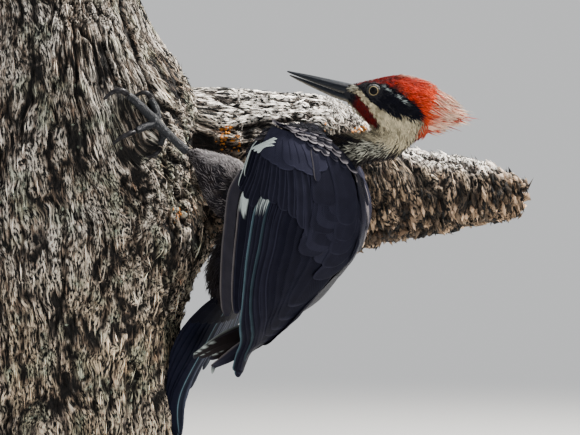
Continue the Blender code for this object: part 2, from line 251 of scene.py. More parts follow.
def spread(mesh: bpy.types.Mesh, name: str, kind: str, values: Array) -> None:
    """Puts values on every vertex of a mesh, as an attribute of a kind.

    Args:
        mesh: The mesh.
        name: The attribute's name.
        kind: FLOAT, FLOAT_VECTOR or FLOAT_COLOR.
        values: One row for each vertex.
    """
    field_name = {"FLOAT": "value", "FLOAT_VECTOR": "vector", "FLOAT_COLOR": "color"}[kind]
    layer = mesh.attributes.new(name, kind, "POINT")
    layer.data.foreach_set(field_name, values.astype(np.float32).ravel())


def paint(mesh: bpy.types.Mesh, colours: Array, name: str = "tint") -> None:
    """Puts a colour on every vertex of a mesh."""
    spread(mesh, name, "FLOAT_COLOR", np.concatenate([colours, np.ones((len(colours), 1))], 1))


def mapped(mesh: bpy.types.Mesh, name: str, rows: Array) -> None:
    """Gives a mesh a UV map, from one row for each vertex.

    Args:
        mesh: The mesh.
        name: The map's name.
        rows: A place on the map for each vertex.
    """
    corners = np.empty(len(mesh.loops), np.int32)
    mesh.loops.foreach_get("vertex_index", corners)
    layer = mesh.uv_layers.new(name=name)
    layer.data.foreach_set("uv", rows[corners].astype(np.float32).ravel())


def woven(grid: Array) -> Array:
    """The quads between the vertex numbers of a grid."""
    return np.stack([grid[:-1, :-1], grid[1:, :-1], grid[1:, 1:], grid[:-1, 1:]], -1).reshape(-1, 4)


def halved(quads: Array) -> Array:
    """Quads cut into triangles."""
    return np.concatenate([quads[:, [0, 1, 2]], quads[:, [0, 2, 3]]])


def inside_out(places: Array, triangles: Array) -> bool:
    """Whether the faces of one closed shape point inwards."""
    corner = places[triangles]
    return float(np.sum(np.cross(corner[:, 0], corner[:, 1]) * corner[:, 2])) < 0


def joined(blocks: Sequence[Block]) -> Block:
    """Blocks of places, faces and values as one block.

    Args:
        blocks: The blocks.

    Returns:
        The one block, its faces renumbered.
    """
    starts = np.cumsum([0, *(len(places) for places, _, _ in blocks)])
    faces = [block[1] + start for block, start in zip(blocks, starts)]
    return (np.concatenate([block[0] for block in blocks]), np.concatenate(faces),
            np.concatenate([block[2] for block in blocks]))


@dataclass
class Sheets:
    """Faces with colours and two maps, gathered until they become one mesh object."""

    blocks: list[tuple[Array, ...]] = field(default_factory=list)
    count: int = 0

    def add(self, places: Array, quads: Array, triangles: Array, *maps: Array) -> None:
        """Adds a block: vertices, faces, then each vertex's colour, vane place and bake place."""
        self.blocks.append((places, quads + self.count, triangles + self.count, *maps))
        self.count += len(places)

    def piece(
        self, name: str, material: bpy.types.Material, facings: Array | None = None,
        soft: float = 0.0,
    ) -> bpy.types.Object:
        """Makes one smooth-shaded mesh object of all that was added.

        Args:
            name: The piece's name.
            material: Its finish.
            facings: Directions that the shading of the vertices leans to.
            soft: How far it leans, from 0 to 1.

        Returns:
            The object.
        """
        columns = [np.concatenate(column) for column in zip(*self.blocks)]
        places, quads, triangles, tints, vanes, seats = columns
        corners = np.concatenate([quads.ravel(), triangles.ravel()])
        mesh = bpy.data.meshes.new(name)
        mesh.vertices.add(len(places))
        mesh.vertices.foreach_set("co", places.astype(np.float32).ravel())
        mesh.loops.add(len(corners))
        mesh.loops.foreach_set("vertex_index", corners.astype(np.int32))
        mesh.polygons.add(len(quads) + len(triangles))
        starts = (np.arange(len(quads)) * 4, len(quads) * 4 + np.arange(len(triangles)) * 3)
        mesh.polygons.foreach_set("loop_start", np.concatenate(starts).astype(np.int32))
        mesh.update(calc_edges=True)
        paint(mesh, tints)
        mapped(mesh, "Vane", vanes)
        mapped(mesh, "OFBake", seats)
        dressed(mesh, material)
        if facings is not None:
            normals = np.empty(len(places) * 3, np.float32)
            mesh.vertex_normals.foreach_get("vector", normals)
            leaning = unit(mix(normals.reshape(-1, 3), facings, soft))
            mesh.normals_split_custom_set_from_vertices(leaning.tolist())
        return linked(name, mesh)


def arrays(mesh: bpy.types.Mesh) -> tuple[Array, Array, Array]:
    """A mesh's vertex places, its triangles and its edges, as arrays.

    Args:
        mesh: The mesh.

    Returns:
        Places, then corner numbers of the triangles, then ends of the edges.
    """
    places = np.empty(len(mesh.vertices) * 3)
    mesh.vertices.foreach_get("co", places)
    mesh.calc_loop_triangles()
    triangles = np.empty(len(mesh.loop_triangles) * 3, np.int32)
    mesh.loop_triangles.foreach_get("vertices", triangles)
    edges = np.empty(len(mesh.edges) * 2, np.int32)
    mesh.edges.foreach_get("vertices", edges)
    return places.reshape(-1, 3), triangles.reshape(-1, 3), edges.reshape(-1, 2)


def vertex_normals(places: Array, triangles: Array) -> Array:
    """Area-weighted normals of a triangle mesh's vertices.

    Args:
        places: Vertex places.
        triangles: Corner numbers.

    Returns:
        One normal for each vertex.
    """
    corners = places[triangles]
    faces = np.cross(corners[:, 1] - corners[:, 0], corners[:, 2] - corners[:, 0])
    normals = np.zeros_like(places)
    for corner in range(3):
        np.add.at(normals, triangles[:, corner], faces)
    return unit(normals)


def relaxed(values: Array, edges: Array, rounds: int) -> Array:
    """Values at vertices, each drawn halfway to the mean of its neighbours a number of times.

    Args:
        values: One row for each vertex.
        edges: Ends of the edges.
        rounds: The number of times.

    Returns:
        The smoothed values.
    """
    flat = values.astype(float).copy().reshape(len(values), -1)
    degree = np.maximum(np.bincount(edges.ravel(), minlength=len(values)).astype(float), 1.0)
    for _ in range(rounds):
        for column in range(flat.shape[1]):
            total = np.bincount(edges[:, 0], flat[edges[:, 1], column], len(values))
            total += np.bincount(edges[:, 1], flat[edges[:, 0], column], len(values))
            flat[:, column] += 0.5 * (total / degree - flat[:, column])
    return flat.reshape(values.shape)


def closed(node: bpy.types.Object, grow: float = 0.0) -> bpy.types.Mesh:
    """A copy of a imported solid, closed up and grown by a distance.

    Args:
        node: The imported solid.
        grow: The distance in metres.

    Returns:
        A mesh in world places.
    """
    shell = bmesh.new()
    shell.from_mesh(node.data)
    shell.transform(node.matrix_world)
    bmesh.ops.remove_doubles(shell, verts=shell.verts, dist=1e-5)
    shell.normal_update()
    for vertex in shell.verts:
        vertex.co += vertex.normal * grow
    mesh = bpy.data.meshes.new("part")
    shell.to_mesh(mesh)
    shell.free()
    return mesh


def fused(meshes: Iterable[bpy.types.Mesh]) -> bpy.types.Mesh:
    """One mesh of several, which are used up.

    Args:
        meshes: The meshes.

    Returns:
        The mesh that holds them all.
    """
    whole = bmesh.new()
    for mesh in meshes:
        whole.from_mesh(mesh)
        bpy.data.meshes.remove(mesh)
    made = bpy.data.meshes.new("whole")
    whole.to_mesh(made)
    whole.free()
    return made


def modified(
    mesh: bpy.types.Mesh, kind: str, inputs: dict | None = None, **settings: object
) -> bpy.types.Mesh:
    """A copy of a mesh with one modifier applied.

    Args:
        mesh: The mesh.
        kind: The modifier's type.
        inputs: Values of a node modifier's inputs, by socket identifier.
        **settings: Attributes of the modifier.

    Returns:
        The result.
    """
    helper = linked("helper", mesh)
    modifier = helper.modifiers.new(kind.lower(), kind)
    for name, value in settings.items():
        setattr(modifier, name, value)
    for socket, value in (inputs or {}).items():
        modifier[socket] = value
    graph = bpy.context.evaluated_depsgraph_get()
    made = bpy.data.meshes.new_from_object(helper.evaluated_get(graph))
    bpy.data.objects.remove(helper)
    return made


def remeshed(mesh: bpy.types.Mesh, voxel: float) -> bpy.types.Mesh:
    """The outer shell of a mesh, rebuilt in even quads of about the voxel's size.

    Args:
        mesh: The mesh.
        voxel: The size in metres.

    Returns:
        The new mesh.
    """
    made = modified(mesh, "REMESH", mode="VOXEL", voxel_size=voxel, use_smooth_shade=True)
    bpy.data.meshes.remove(mesh)
    shell = bmesh.new()
    shell.from_mesh(made)
    unseen = set(shell.verts)
    largest: list[bmesh.types.BMVert] = []
    while unseen:
        reach = [unseen.pop()]
        for vertex in reach:
            for edge in vertex.link_edges:
                other = edge.other_vert(vertex)
                if other in unseen:
                    unseen.discard(other)
                    reach.append(other)
        if len(reach) > len(largest):
            largest = reach
    keep = set(largest)
    bmesh.ops.delete(shell, geom=[v for v in shell.verts if v not in keep], context="VERTS")
    shell.to_mesh(made)
    shell.free()
    return made


def tree(places: Array, triangles: Array) -> BVHTree:
    """A search tree over triangles."""
    return BVHTree.FromPolygons(places.tolist(), triangles.tolist())


def nearest_on(search: BVHTree, points: Array) -> tuple[Array, Array, Array]:
    """For each point, the nearest place on a surface, its normal and its triangle's number."""
    found = [search.find_nearest(point) for point in points.tolist()]
    return tuple(np.array([hit[index] for hit in found]) for index in range(3))


def balanced(spots: Array) -> KDTree:
    """A search tree over places.

    Args:
        spots: Places, one row each.

    Returns:
        The tree, ready to search.
    """
    search = KDTree(len(spots))
    for number, spot in enumerate(spots.tolist()):
        search.insert(spot, number)
    search.balance()
    return search


def strewn(
    places: Array, triangles: Array, wanted: Array, spacing: float, rng: np.random.Generator
) -> tuple[Array, Array]:
    """Evenly strewn places on a surface, none nearer to another than the spacing.

    Args:
        places: The surface's vertices.
        triangles: Its triangles.
        wanted: True for each triangle that takes any.
        spacing: The least distance between two places.
        rng: The source of random numbers.

    Returns:
        The places, and the number of the triangle that each lies on.
    """
    corners = places[triangles[wanted]]
    first_side, second_side = corners[:, 1] - corners[:, 0], corners[:, 2] - corners[:, 0]
    areas = np.linalg.norm(np.cross(first_side, second_side), axis=1)
    count = int(areas.sum() / 2 / spacing**2 * 3.2)
    picks = rng.choice(len(corners), count, p=areas / areas.sum())
    first, second = rng.random(count), rng.random(count)
    over = first + second > 1
    first[over], second[over] = 1 - first[over], 1 - second[over]
    spots = (corners[picks, 0] + first_side[picks] * first[:, None]
             + second_side[picks] * second[:, None])
    search = balanced(spots)
    free = np.ones(count, bool)
    kept = []
    for number, spot in enumerate(spots.tolist()):
        if free[number]:
            kept.append(number)
            for _, other, _ in search.find_range(spot, spacing):
                free[other] = False
    return spots[kept], np.nonzero(wanted)[0][picks[kept]]


# ---- Finishes --------------------------------------------------------------------------------


def plug(tree: bpy.types.NodeTree, socket: Socket, value: object) -> None:
    """Leads another socket into an input, or puts a plain value there.

    Args:
        tree: The node tree.
        socket: The input.
        value: An output socket or a plain value.
    """
    if isinstance(value, Socket):
        tree.links.new(value, socket)
    else:
        socket.default_value = value


def fill(
    tree: bpy.types.NodeTree, kind: str, feeds: dict | None = None, **settings: object
) -> bpy.types.Node:
    """A node in a node tree.

    Args:
        tree: The node tree.
        kind: The node's type.
        feeds: Values or sockets for the inputs, by name or number.
        **settings: Attributes of the node.

    Returns:
        The node.
    """
    node = tree.nodes.new(kind)
    for name, value in settings.items():
        setattr(node, name, value)
    for name, value in (feeds or {}).items():
        plug(tree, node.inputs[name], value)
    return node


class Shading:
    """A shader node tree, with short ways to add what most trees need."""

    def __init__(self, tree: bpy.types.NodeTree) -> None:
        """Keeps the tree."""
        self.tree = tree

    def node(
        self, kind: str, feeds: dict | None = None, **settings: object
    ) -> bpy.types.NodeOutputs:
        """The outputs of a new shader node, which is asked for as in fill."""
        return fill(self.tree, "ShaderNode" + kind, feeds, **settings).outputs

    def math(self, operation: str, *values: object) -> Socket:
        """The result of an operation on values or sockets."""
        return self.node("Math", dict(enumerate(values)), operation=operation)[0]


class Effect(Shading):
    """A shader node group with named inputs and outputs."""

    def __init__(self, name: str, inputs: dict[str, float], outputs: Sequence[str]) -> None:
        """Makes the group with its inputs' usual values.

        Args:
            name: The group's name.
            inputs: Usual value of each input.
            outputs: Names of the outputs.
        """
        super().__init__(bpy.data.node_groups.new(name, "ShaderNodeTree"))
        face = self.tree.interface
        for title, value in inputs.items():
            socket = face.new_socket(name=title, in_out="INPUT", socket_type="NodeSocketFloat")
            socket.default_value = value
        for title in outputs:
            face.new_socket(name=title, in_out="OUTPUT", socket_type="NodeSocketFloat")
        self.given = self.tree.nodes.new("NodeGroupInput").outputs
        self.results = self.tree.nodes.new("NodeGroupOutput").inputs

    def put(self, name: str, socket: Socket) -> None:
        """Leads a socket to the group's output of that name."""
        self.tree.links.new(socket, self.results[name])


@cache
def grain_effect() -> bpy.types.NodeTree:
    """Two layers of noise in object space: a broad mottle and a fine grain.

    Returns:
        A group with the inputs Broad and Fine, the scales, and the outputs Mottle and Grain.
    """
    effect = Effect("Grain", {"Broad": 60.0, "Fine": 900.0}, ("Mottle", "Grain"))
    place = effect.node("TexCoord")["Object"]
    for title, scale, detail in (("Mottle", "Broad", 3.0), ("Grain", "Fine", 4.0)):
        feeds = {"Vector": place, "Scale": effect.given[scale], "Detail": detail}
        effect.put(title, effect.node("TexNoise", feeds)[0])
    return effect.tree


@cache
def barb_effect() -> bpy.types.NodeTree:
    """Barbs that run slantwise from the shaft to the edge of a vane, on the vane's own map.

    Returns:
        A group with the inputs Pitch, the barbs in one unit of length, and Slant, and the
        output Barbs.
    """
    effect = Effect("Barbs", {"Pitch": 90.0, "Slant": 1.4}, ("Barbs",))
    parts = effect.node("SeparateXYZ", {0: effect.node("UVMap", uv_map="Vane")[0]})
    across = effect.math("ABSOLUTE", effect.math("SUBTRACT", parts[0], 0.5))
    slant = effect.math("MULTIPLY", across, effect.given["Slant"])
    along = effect.math("SUBTRACT", parts[1], slant)
    place = effect.node("CombineXYZ", {0: across, 1: along})[0]
    warp = effect.node("TexNoise", {"Vector": place, "Scale": 3.0, "Detail": 2.0})[0]
    row = effect.math("MULTIPLY", along, effect.given["Pitch"])
    wave = effect.math("SINE", effect.math("MULTIPLY_ADD", warp, 9.0, row))
    effect.put("Barbs", effect.math("MULTIPLY_ADD", wave, 0.5, 0.5))
    return effect.tree


class Finish(Shading):
    """A material that is put together node by node on a Principled shader."""

    def __init__(self, name: str) -> None:
        """Starts the material with its shader.

        Args:
            name: The material's name.
        """
        self.material = bpy.data.materials.new(name)
        self.material.use_nodes = True
        super().__init__(self.material.node_tree)
        self.tree.nodes.clear()
        output = self.tree.nodes.new("ShaderNodeOutputMaterial")
        self.shader = self.tree.nodes.new("ShaderNodeBsdfPrincipled")
        self.tree.links.new(self.shader.outputs[0], output.inputs[0])

    def set(self, **values: object) -> None:
        """Puts values or sockets on the shader, by socket name with _ for a space."""
        for name, value in values.items():
            plug(self.tree, self.shader.inputs[name.replace("_", " ")], value)

    def place(self) -> Socket:
        """The place in object space."""
        return self.node("TexCoord")["Object"]

    def ranged(
        self, value: Socket, low: float, high: float, start: float = 0.0, end: float = 1.0
    ) -> Socket:
        """A value from start to end, carried over to the range from low to high."""
        return self.node("MapRange", {"Value": value, "From Min": start, "From Max": end,
                                      "To Min": low, "To Max": high})[0]

    def painted(self, *shades: Socket) -> Socket:
        """The piece's painted colour, multiplied by shades.

        Args:
            shades: What the colour is multiplied by.

        Returns:
            The product.
        """
        colour = self.node("VertexColor", layer_name="tint")[0]
        for shade in shades:
            colour = self.node("Mix", {0: 1.0, 6: colour, 7: shade}, data_type="RGBA",
                               blend_type="MULTIPLY")[2]
        return colour

    def grained(self, broad: float, fine: float) -> tuple[Socket, Socket]:
        """The shared grain at two scales: its mottle and its grain."""
        outputs = self.node("Group", {"Broad": broad, "Fine": fine}, node_tree=grain_effect())
        return outputs["Mottle"], outputs["Grain"]

    def bump(self, strength: float, distance: float, height: Socket) -> Socket:
        """A bumped normal."""
        return self.node("Bump", {"Strength": strength, "Distance": distance, "Height": height})[0]

    def ramp(self, factor: Socket, *stops: tuple) -> Socket:
        """A colour ramp's output, from stops of place and colour.

        Args:
            factor: The place on the ramp, from 0 to 1.
            stops: Place and colour of each stop.

        Returns:
            The colour output.
        """
        node = fill(self.tree, "ShaderNodeValToRGB", {0: factor})
        elements = node.color_ramp.elements
        while len(elements) < len(stops):
            elements.new(0.5)
        for element, (place, colour) in zip(elements, stops):
            element.position = place
            element.color = (*colour, 1.0)
        return node.outputs[0]


class Feather(Finish):
    """Feather vane: painted colour, barb streaks and a soft sheen."""

    def __init__(self, name: str, pitch: float, rough: float, depth: float, gloss: float) -> None:
        """Dresses the material with its barbs' pitch, roughness, depth and gloss.

        Args:
            name: The material's name.
            pitch: The barbs' pitch.
            rough: Roughness.
            depth: Depth of the relief.
            gloss: Gloss.
        """
        super().__init__(name)
        streaks = self.node("Group", {"Pitch": pitch}, node_tree=barb_effect())["Barbs"]
        mottle, _ = self.grained(90.0, 1500.0)
        self.set(
            Base_Color=self.painted(self.ranged(streaks, 0.78, 1.12), self.ranged(mottle, 0.7, 1.3)),
            Roughness=self.ranged(streaks, rough + 0.08, rough - 0.08),
            Normal=self.bump(depth, 0.0002, streaks),
            Sheen_Weight=0.015, Sheen_Roughness=0.4, Specular_IOR_Level=gloss,
        )


class Powder(Finish):
    """Painted colour under a powdery grain, as on downy skin and crusty lichen."""

    def __init__(
        self, name: str, scales: tuple[float, float], shades: tuple[float, float],
        rough: tuple[float, float], depth: float,
    ) -> None:
        """Dresses the material with its grain's scales, shades, roughness and depth.

        Args:
            name: The material's name.
            scales: The grain's two scales.
            shades: Least and most brightness.
            rough: Least and most roughness.
            depth: Depth of the relief.
        """
        super().__init__(name)
        mottle, grain = self.grained(*scales)
        self.set(
            Base_Color=self.painted(self.ranged(grain, *shades)),
            Roughness=self.ranged(mottle, *rough), Normal=self.bump(0.8, depth, grain),
        )


class LegScale(Finish):
    """Scaly skin of shanks and toes: plates with dark joints."""

    def __init__(self) -> None:
        """Dresses the material."""
        super().__init__("Leg scale")
        cells = self.node("TexVoronoi", {"Vector": self.place(), "Scale": 1100.0},
                          feature="DISTANCE_TO_EDGE")[0]
        plate = self.ranged(cells, 0.0, 1.0, 0.02, 0.2)
        mottle, _ = self.grained(400.0, 2500.0)
        self.set(
            Base_Color=self.painted(self.ranged(plate, 0.55, 1.1)),
            Roughness=self.ranged(mottle, 0.35, 0.6), Normal=self.bump(0.7, 0.0003, plate),
        )


class Horn(Finish):
    """Horn: painted colour with fine growth streaks and scuffs."""

    def __init__(self, name: str, rough: float, broad: float) -> None:
        """Dresses the material with its roughness and the scale of its scuffs.

        Args:
            name: The material's name.
            rough: Roughness.
            broad: Scale of the scuffs.
        """
        super().__init__(name)
        turned = self.node("Mapping", {"Vector": self.place(), "Rotation": (0.0, -0.27, 0.0),
                                       "Scale": (1.0, 9.0, 9.0)})[0]
        streak = self.node("TexNoise", {"Vector": turned, "Scale": 90.0, "Detail": 5.0})[0]
        mottle, grain = self.grained(broad, 2200.0)
        self.set(
            Base_Color=self.painted(self.ranged(streak, 0.6, 1.45, 0.3, 0.7)),
            Roughness=self.ranged(mottle, rough, rough + 0.25),
            Normal=self.bump(0.35, 0.0003, self.math("MULTIPLY_ADD", streak, 0.6, grain)),
            Specular_IOR_Level=0.25,
        )


class EyeGloss(Finish):
    """Eye: painted iris and pupil with fibres, under a wet clear coat."""

    def __init__(self) -> None:
        """Dresses the material."""
        super().__init__("Eye")
        place = self.node("UVMap", uv_map="Vane")[0]
        fibres = self.node("TexNoise", {"Vector": place, "Scale": 40.0, "Detail": 3.0})[0]
        self.set(
            Base_Color=self.painted(self.ranged(fibres, 0.75, 1.2)),
            Roughness=0.5, Specular_IOR_Level=0.05, Coat_Weight=0.12, Coat_Roughness=0.02,
        )


class Bark(Finish):
    """Weathered dead wood: painted tone by relief height, painted shade between fibres, and dust."""

    def __init__(self) -> None:
        """Dresses the material."""
        super().__init__("Snag bark")
        place = self.node("Attribute", attribute_name="grain")["Vector"]
        streaks = self.node("TexNoise", {"Vector": place, "Scale": 0.86, "Detail": 2.5,
                                         "Roughness": 0.6})[0]
        # Fibres: the paint goes black in the thin gaps between them, as painted shade.
        fibre = self.ranged(streaks, 0.0, 1.0, 0.44, 0.56)
        mottle, grain = self.grained(130.0, 1300.0)
        self.set(
            Base_Color=self.painted(self.ranged(fibre, 0.0, 2.5),
                                    self.ranged(grain, 0.6, 1.4, 0.3, 0.7)),
            Roughness=self.ranged(mottle, 0.75, 0.95),
            Normal=self.bump(1.0, 0.0014, self.math("MULTIPLY_ADD", fibre, 1.4, grain)),
        )


class StandWood(Finish):
    """Dark oiled wood of the stand's base, with rings seen from above."""

    def __init__(self) -> None:
        """Dresses the material."""
        super().__init__("Stand wood")
        long = self.node("Mapping", {"Vector": self.place(), "Scale": (1.2, 11.0, 11.0)})[0]
        warp = self.node("TexNoise", {"Vector": long, "Scale": 14.0, "Detail": 6.0})[0]
        mottle, _ = self.grained(40.0, 1100.0)
        self.set(
            Base_Color=self.ramp(warp, (0.3, (0.045, 0.022, 0.012)), (0.5, (0.12, 0.06, 0.03)),
                                 (0.7, (0.2, 0.11, 0.06))),
            Roughness=self.ranged(mottle, 0.32, 0.5), Normal=self.bump(0.3, 0.0003, warp),
        )


class StandSteel(Finish):
    """Brushed steel of the stand's rods."""

    def __init__(self) -> None:
        """Dresses the material."""
        super().__init__("Stand steel")
        mottle, grain = self.grained(80.0, 2400.0)
        self.set(
            Base_Color=self.ramp(mottle, (0.3, (0.36, 0.37, 0.38)), (0.7, (0.5, 0.5, 0.5))),
            Metallic=1.0, Roughness=self.ranged(grain, 0.25, 0.45),
        )


class PaleFloor(Finish):
    """Plain pale floor that goes over into the pale surroundings away from the object."""

    def __init__(self) -> None:
        """Dresses the material."""
        super().__init__("Pale floor")
        away = self.node("VectorMath", {0: self.place()}, operation="LENGTH")["Value"]
        share = self.node("MapRange", {"Value": away, "From Min": 0.7, "From Max": 1.5},
                          interpolation_type="SMOOTHSTEP")[0]
        near, dark, sky = (0.70, 0.70, 0.69, 1.0), (0.0, 0.0, 0.0, 1.0), (*SKY, 1.0)
        self.set(
            Base_Color=self.node("Mix", {0: share, 6: near, 7: dark}, data_type="RGBA")[2],
            Emission_Color=self.node("Mix", {0: share, 6: dark, 7: sky}, data_type="RGBA")[2],
            Roughness=0.9, Specular_IOR_Level=0.0, Emission_Strength=SKY_LEVEL,
        )


class Finishes:
    """All materials of the model, made once."""

    def __init__(self) -> None:
        """Makes every finish."""
        self.plume = Feather("Plume", 60.0, 0.52, 0.35, 0.09).material
        self.quill = Feather("Quill", 75.0, 0.42, 0.2, 0.012).material
        self.hide = Powder("Hide", (300.0, 1600.0), (0.45, 0.95), (0.7, 0.9), 0.0004).material
        self.scale = LegScale().material
        self.bill = Horn("Bill horn", 0.30, 220.0).material
        self.claw = Horn("Claw horn", 0.25, 500.0).material
        self.eye = EyeGloss().material
        self.bark = Bark().material
        self.lichen = Powder("Lichen crust", (500.0, 2600.0), (0.5, 1.4), (0.8, 1.0),
                             0.0005).material
        self.wood = StandWood().material
        self.steel = StandSteel().material
        self.floor = PaleFloor().material


# ---- Shapes of the bird ----------------------------------------------------------------------


class Side(Enum):
    """A side of the bird; the value is the sign of its leftward axis."""

    LEFT = 1
    RIGHT = -1

    @property
    def word(self) -> str:
        """The side as a word in piece names."""
        return self.name.lower()

    @property
    def foot(self) -> list[str]:
        """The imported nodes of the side's shank and toes."""
        return [f"tarsus_{self.word}", *(f"toe_{toe}_{self.word}" for toe in TOES)]


class Part(Enum):
    """The regions of the skin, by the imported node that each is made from."""

    HEAD = "head"
    CREST = "crest"
    NECK = "neck"
    TRUNK = "trunk"
    WING_LEFT = "wing_left"
    WING_RIGHT = "wing_right"
    THIGH_LEFT = "thigh_left"
    THIGH_RIGHT = "thigh_right"


# Stations of a folded wing, in millimetres along the body's axes: leading edge, trailing edge,
# and the bulge between them. The last two thirds are flight feathers alone.
WING_LEFT_STATIONS = (
    (30, -18, 75, 20, 8, 75, 9),
    (44, -25, 57, 15, 29, 59, 19),
    (52, -25, 34, 12, 45, 33, 27),
    (55, -27, 13, 10, 52, 8, 30),
    (54, -24, -15, 8, 52, -14, 30),
    (49, -23, -43, 5, 44, -38, 27),
    (40, -20, -78, 2, 33, -64, 21),
    (30, -17, -101, 0, 20, -90, 13),
    (10, -14, -120, -4, 6, -111, 7),
    (2, -14, -137, -6, -8, -129, 3),
    (-7, -15, -150, -11, -14, -151, 0.6),
)
WING_RIGHT_STATIONS = (
    (31, -18, 56, 20, 8, 58, 9),
    (44, -25, 46, 16, 28, 48, 18),
    (52, -25, 30, 13, 44, 28, 26),
    *WING_LEFT_STATIONS[3:7],
    (18, -27, -96, 0, 20, -90, 13),
    (-2, -30, -110, 4, 0, -118, 7),
    (-20, -32, -124, 5, -20, -138, 4),
    (-36, -33.5, -137, 2, -38, -153, 1),
)
# Stations of the tail: headward, dorsal and left of the body's middle, half width.
TAIL_STATIONS = ((-82, -37, 0, 13), (-95, -43, 1, 21), (-120, -50, 3, 27), (-150, -54, 4, 26),
                 (-178, -56, 4, 18), (-203, -56, 2, 9), (-223, -54, -1.5, 3.5))
# The neck's middle line from the body's middle, in millimetres right, back and up.
NECK_STATIONS = ((15, -9, 34), (34, -13, 48), (51, -14, 55), (67, -14, 57.5), (82, -13, 61),
                 (90, -13, 72), (90, -13, 82))
NECK_STEPS, COLLAR = 60, 6  # steps of the neck's line, and the step at the collar


def neck_line(body: Axes) -> Array:
    """World places along the neck's middle line."""
    middles = np.array(NECK_STATIONS, float) * MM + body.origin
    return through(middles, np.linspace(0, len(middles) - 1, NECK_STEPS))


def along_neck(points: Array, body: Axes) -> tuple[Array, Array, Array]:
    """For each point, the nearest step of the neck's line: its number, place and direction.

    Args:
        points: World places, one row each.
        body: The body's axes.

    Returns:
        The step's number, its place and its direction, for each point.
    """
    line = neck_line(body)
    step = np.argmin(np.linalg.norm(points[:, None] - line[None], axis=2), axis=1)
    return step, line[step], unit(np.gradient(line, axis=0))[step]


class Surface:
    """A curved surface that large feathers are laid on, by a place across and a place along."""

    handed = 1.0
    thickness: tuple[float, ...] = (0.0,)

    def core(self, across: Array, along: Array) -> Array:
        """World places on the surface, with across from 0 to 1."""
        raise NotImplementedError

    def rows(self, along: Array, *shares: float) -> list[Array]:
        """World places along the surface at some shares of its width."""
        return [self.core(np.full(len(along), share), along) for share in shares]

    def breadth(self, along: Array) -> Array:
        """The surface's width in millimetres, measured over its curve."""
        steps = self.rows(along, *np.linspace(0, 1, 9))
        return sum(np.linalg.norm(b - a, axis=1) for a, b in zip(steps, steps[1:])) / MM

    def bare(self, across: Array, along: Array) -> Array:
        """World places on the middle sheet, carried straight on past either edge.

        Args:
            across: Places across, 0 and 1 at the edges.
            along: Places along, in stations.

        Returns:
            World places, one row each.
        """
        inside = np.clip(across, 0.0, 1.0)
        over = ((across - inside) * self.breadth(along))[:, None] * MM
        start, inner, outer, end = self.rows(along, 0.0, 0.2, 0.8, 1.0)
        way = np.where(across[:, None] < 0.5, unit(inner - start), unit(end - outer))
        return self.core(inside, along) + way * over

    def normal(self, across: Array, along: Array) -> Array:
        """Unit normals away from the bird.

        Args:
            across: Places across, 0 and 1 at the edges.
            along: Places along, in stations.

        Returns:
            One direction for each place.
        """
        step = 0.02
        sideways = self.bare(across + step, along) - self.bare(across - step, along)
        forth = self.bare(across, along + step) - self.bare(across, along - step)
        return unit(np.cross(sideways, forth)) * self.handed

    def place(self, across: Array, along: Array) -> Array:
        """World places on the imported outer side."""
        thick = np.interp(along, np.arange(len(self.thickness)), self.thickness)[:, None] * MM
        return self.bare(across, along) + self.normal(across, along) * thick

    def face(self, station: float, away: Array) -> None:
        """Turns the normals at the middle of a station to the side of a direction."""
        if float(self.normal(np.array([0.5]), np.array([station]))[0] @ away) <= 0:
            self.handed = -1.0


class WingSurface(Surface):
    """The outside of a folded wing: across from leading to trailing edge, along by station."""

    thickness = (7.0, 6.3, 5.6, 4.9, 3.9, 3.0, 2.6, 2.2, 1.8, 1.5, 1.2)

    def __init__(self, side: Side, body: Axes) -> None:
        """Takes the side's stations.

        Args:
            side: The wing's side.
            body: The body's axes.
        """
        self.side = side
        self.body = body
        self.stations = WING_LEFT_STATIONS if side is Side.LEFT else WING_RIGHT_STATIONS
        self.face(4.0, self.place(np.array([0.5]), np.array([4.0]))[0] - body.origin)

    def core(self, across: Array, along: Array) -> Array:
        """World places on the wing's outside.

        Args:
            across: Places across, 0 and 1 at the edges.
            along: Places along, in stations.

        Returns:
            World places, one row each.
        """
        row = through(self.stations, np.clip(along, 0, len(self.stations) - 1))
        lead, trail, bulge = row[:, 0:3], row[:, 3:6], row[:, 6:7]
        out = np.stack([trail[:, 1] - lead[:, 1], lead[:, 0] - trail[:, 0], 0 * lead[:, 0]], 1)
        swell = np.abs(np.sin(np.pi * np.clip(across, 0, 1))) ** 0.8
        swell = np.where(across > 0.75, 0.758 - 1.905 * (across - 0.75), swell)[:, None]
        local = mix(lead, trail, across[:, None]) + unit(out) * bulge * swell
        local = local * np.array([self.side.value, 1.0, 1.0])
        beyond = np.maximum(along - (len(self.stations) - 1), 0.0)[:, None]
        return self.body.world(local - beyond * np.array([0.0, 0.0, 14.0]))


class TailSurface(Surface):
    """The upper side of the folded tail: across from right to left, along by station."""

    thickness = (5.0, 4.5, 3.8, 3.0, 2.4, 1.8, 1.2)

    def __init__(self, body: Axes) -> None:
        """Keeps the body's axes."""
        self.body = body
        self.face(3.0, body.turn([0, 1, 0]))

    def core(self, across: Array, along: Array) -> Array:
        """World places on the tail's middle sheet, arched a little across.

        Args:
            across: Places across, 0 and 1 at the edges.
            along: Places along, in stations.

        Returns:
            World places, one row each.
        """
        row = through(TAIL_STATIONS, np.clip(along, 0, len(TAIL_STATIONS) - 1))
        off = (across - 0.5) * 2.0
        arch = row[:, 1] - 0.16 * off**2 * row[:, 3]
        local = np.stack([row[:, 2] + off * row[:, 3], arch, row[:, 0]], 1)
        beyond = np.maximum(along - (len(TAIL_STATIONS) - 1), 0.0)[:, None]
        local = local + np.maximum(-along, 0.0)[:, None] * np.array([0.0, 10.0, 18.0])
        return self.body.world(local - beyond * np.array([0.0, 0.0, 20.0]))


# ---- Markings --------------------------------------------------------------------------------


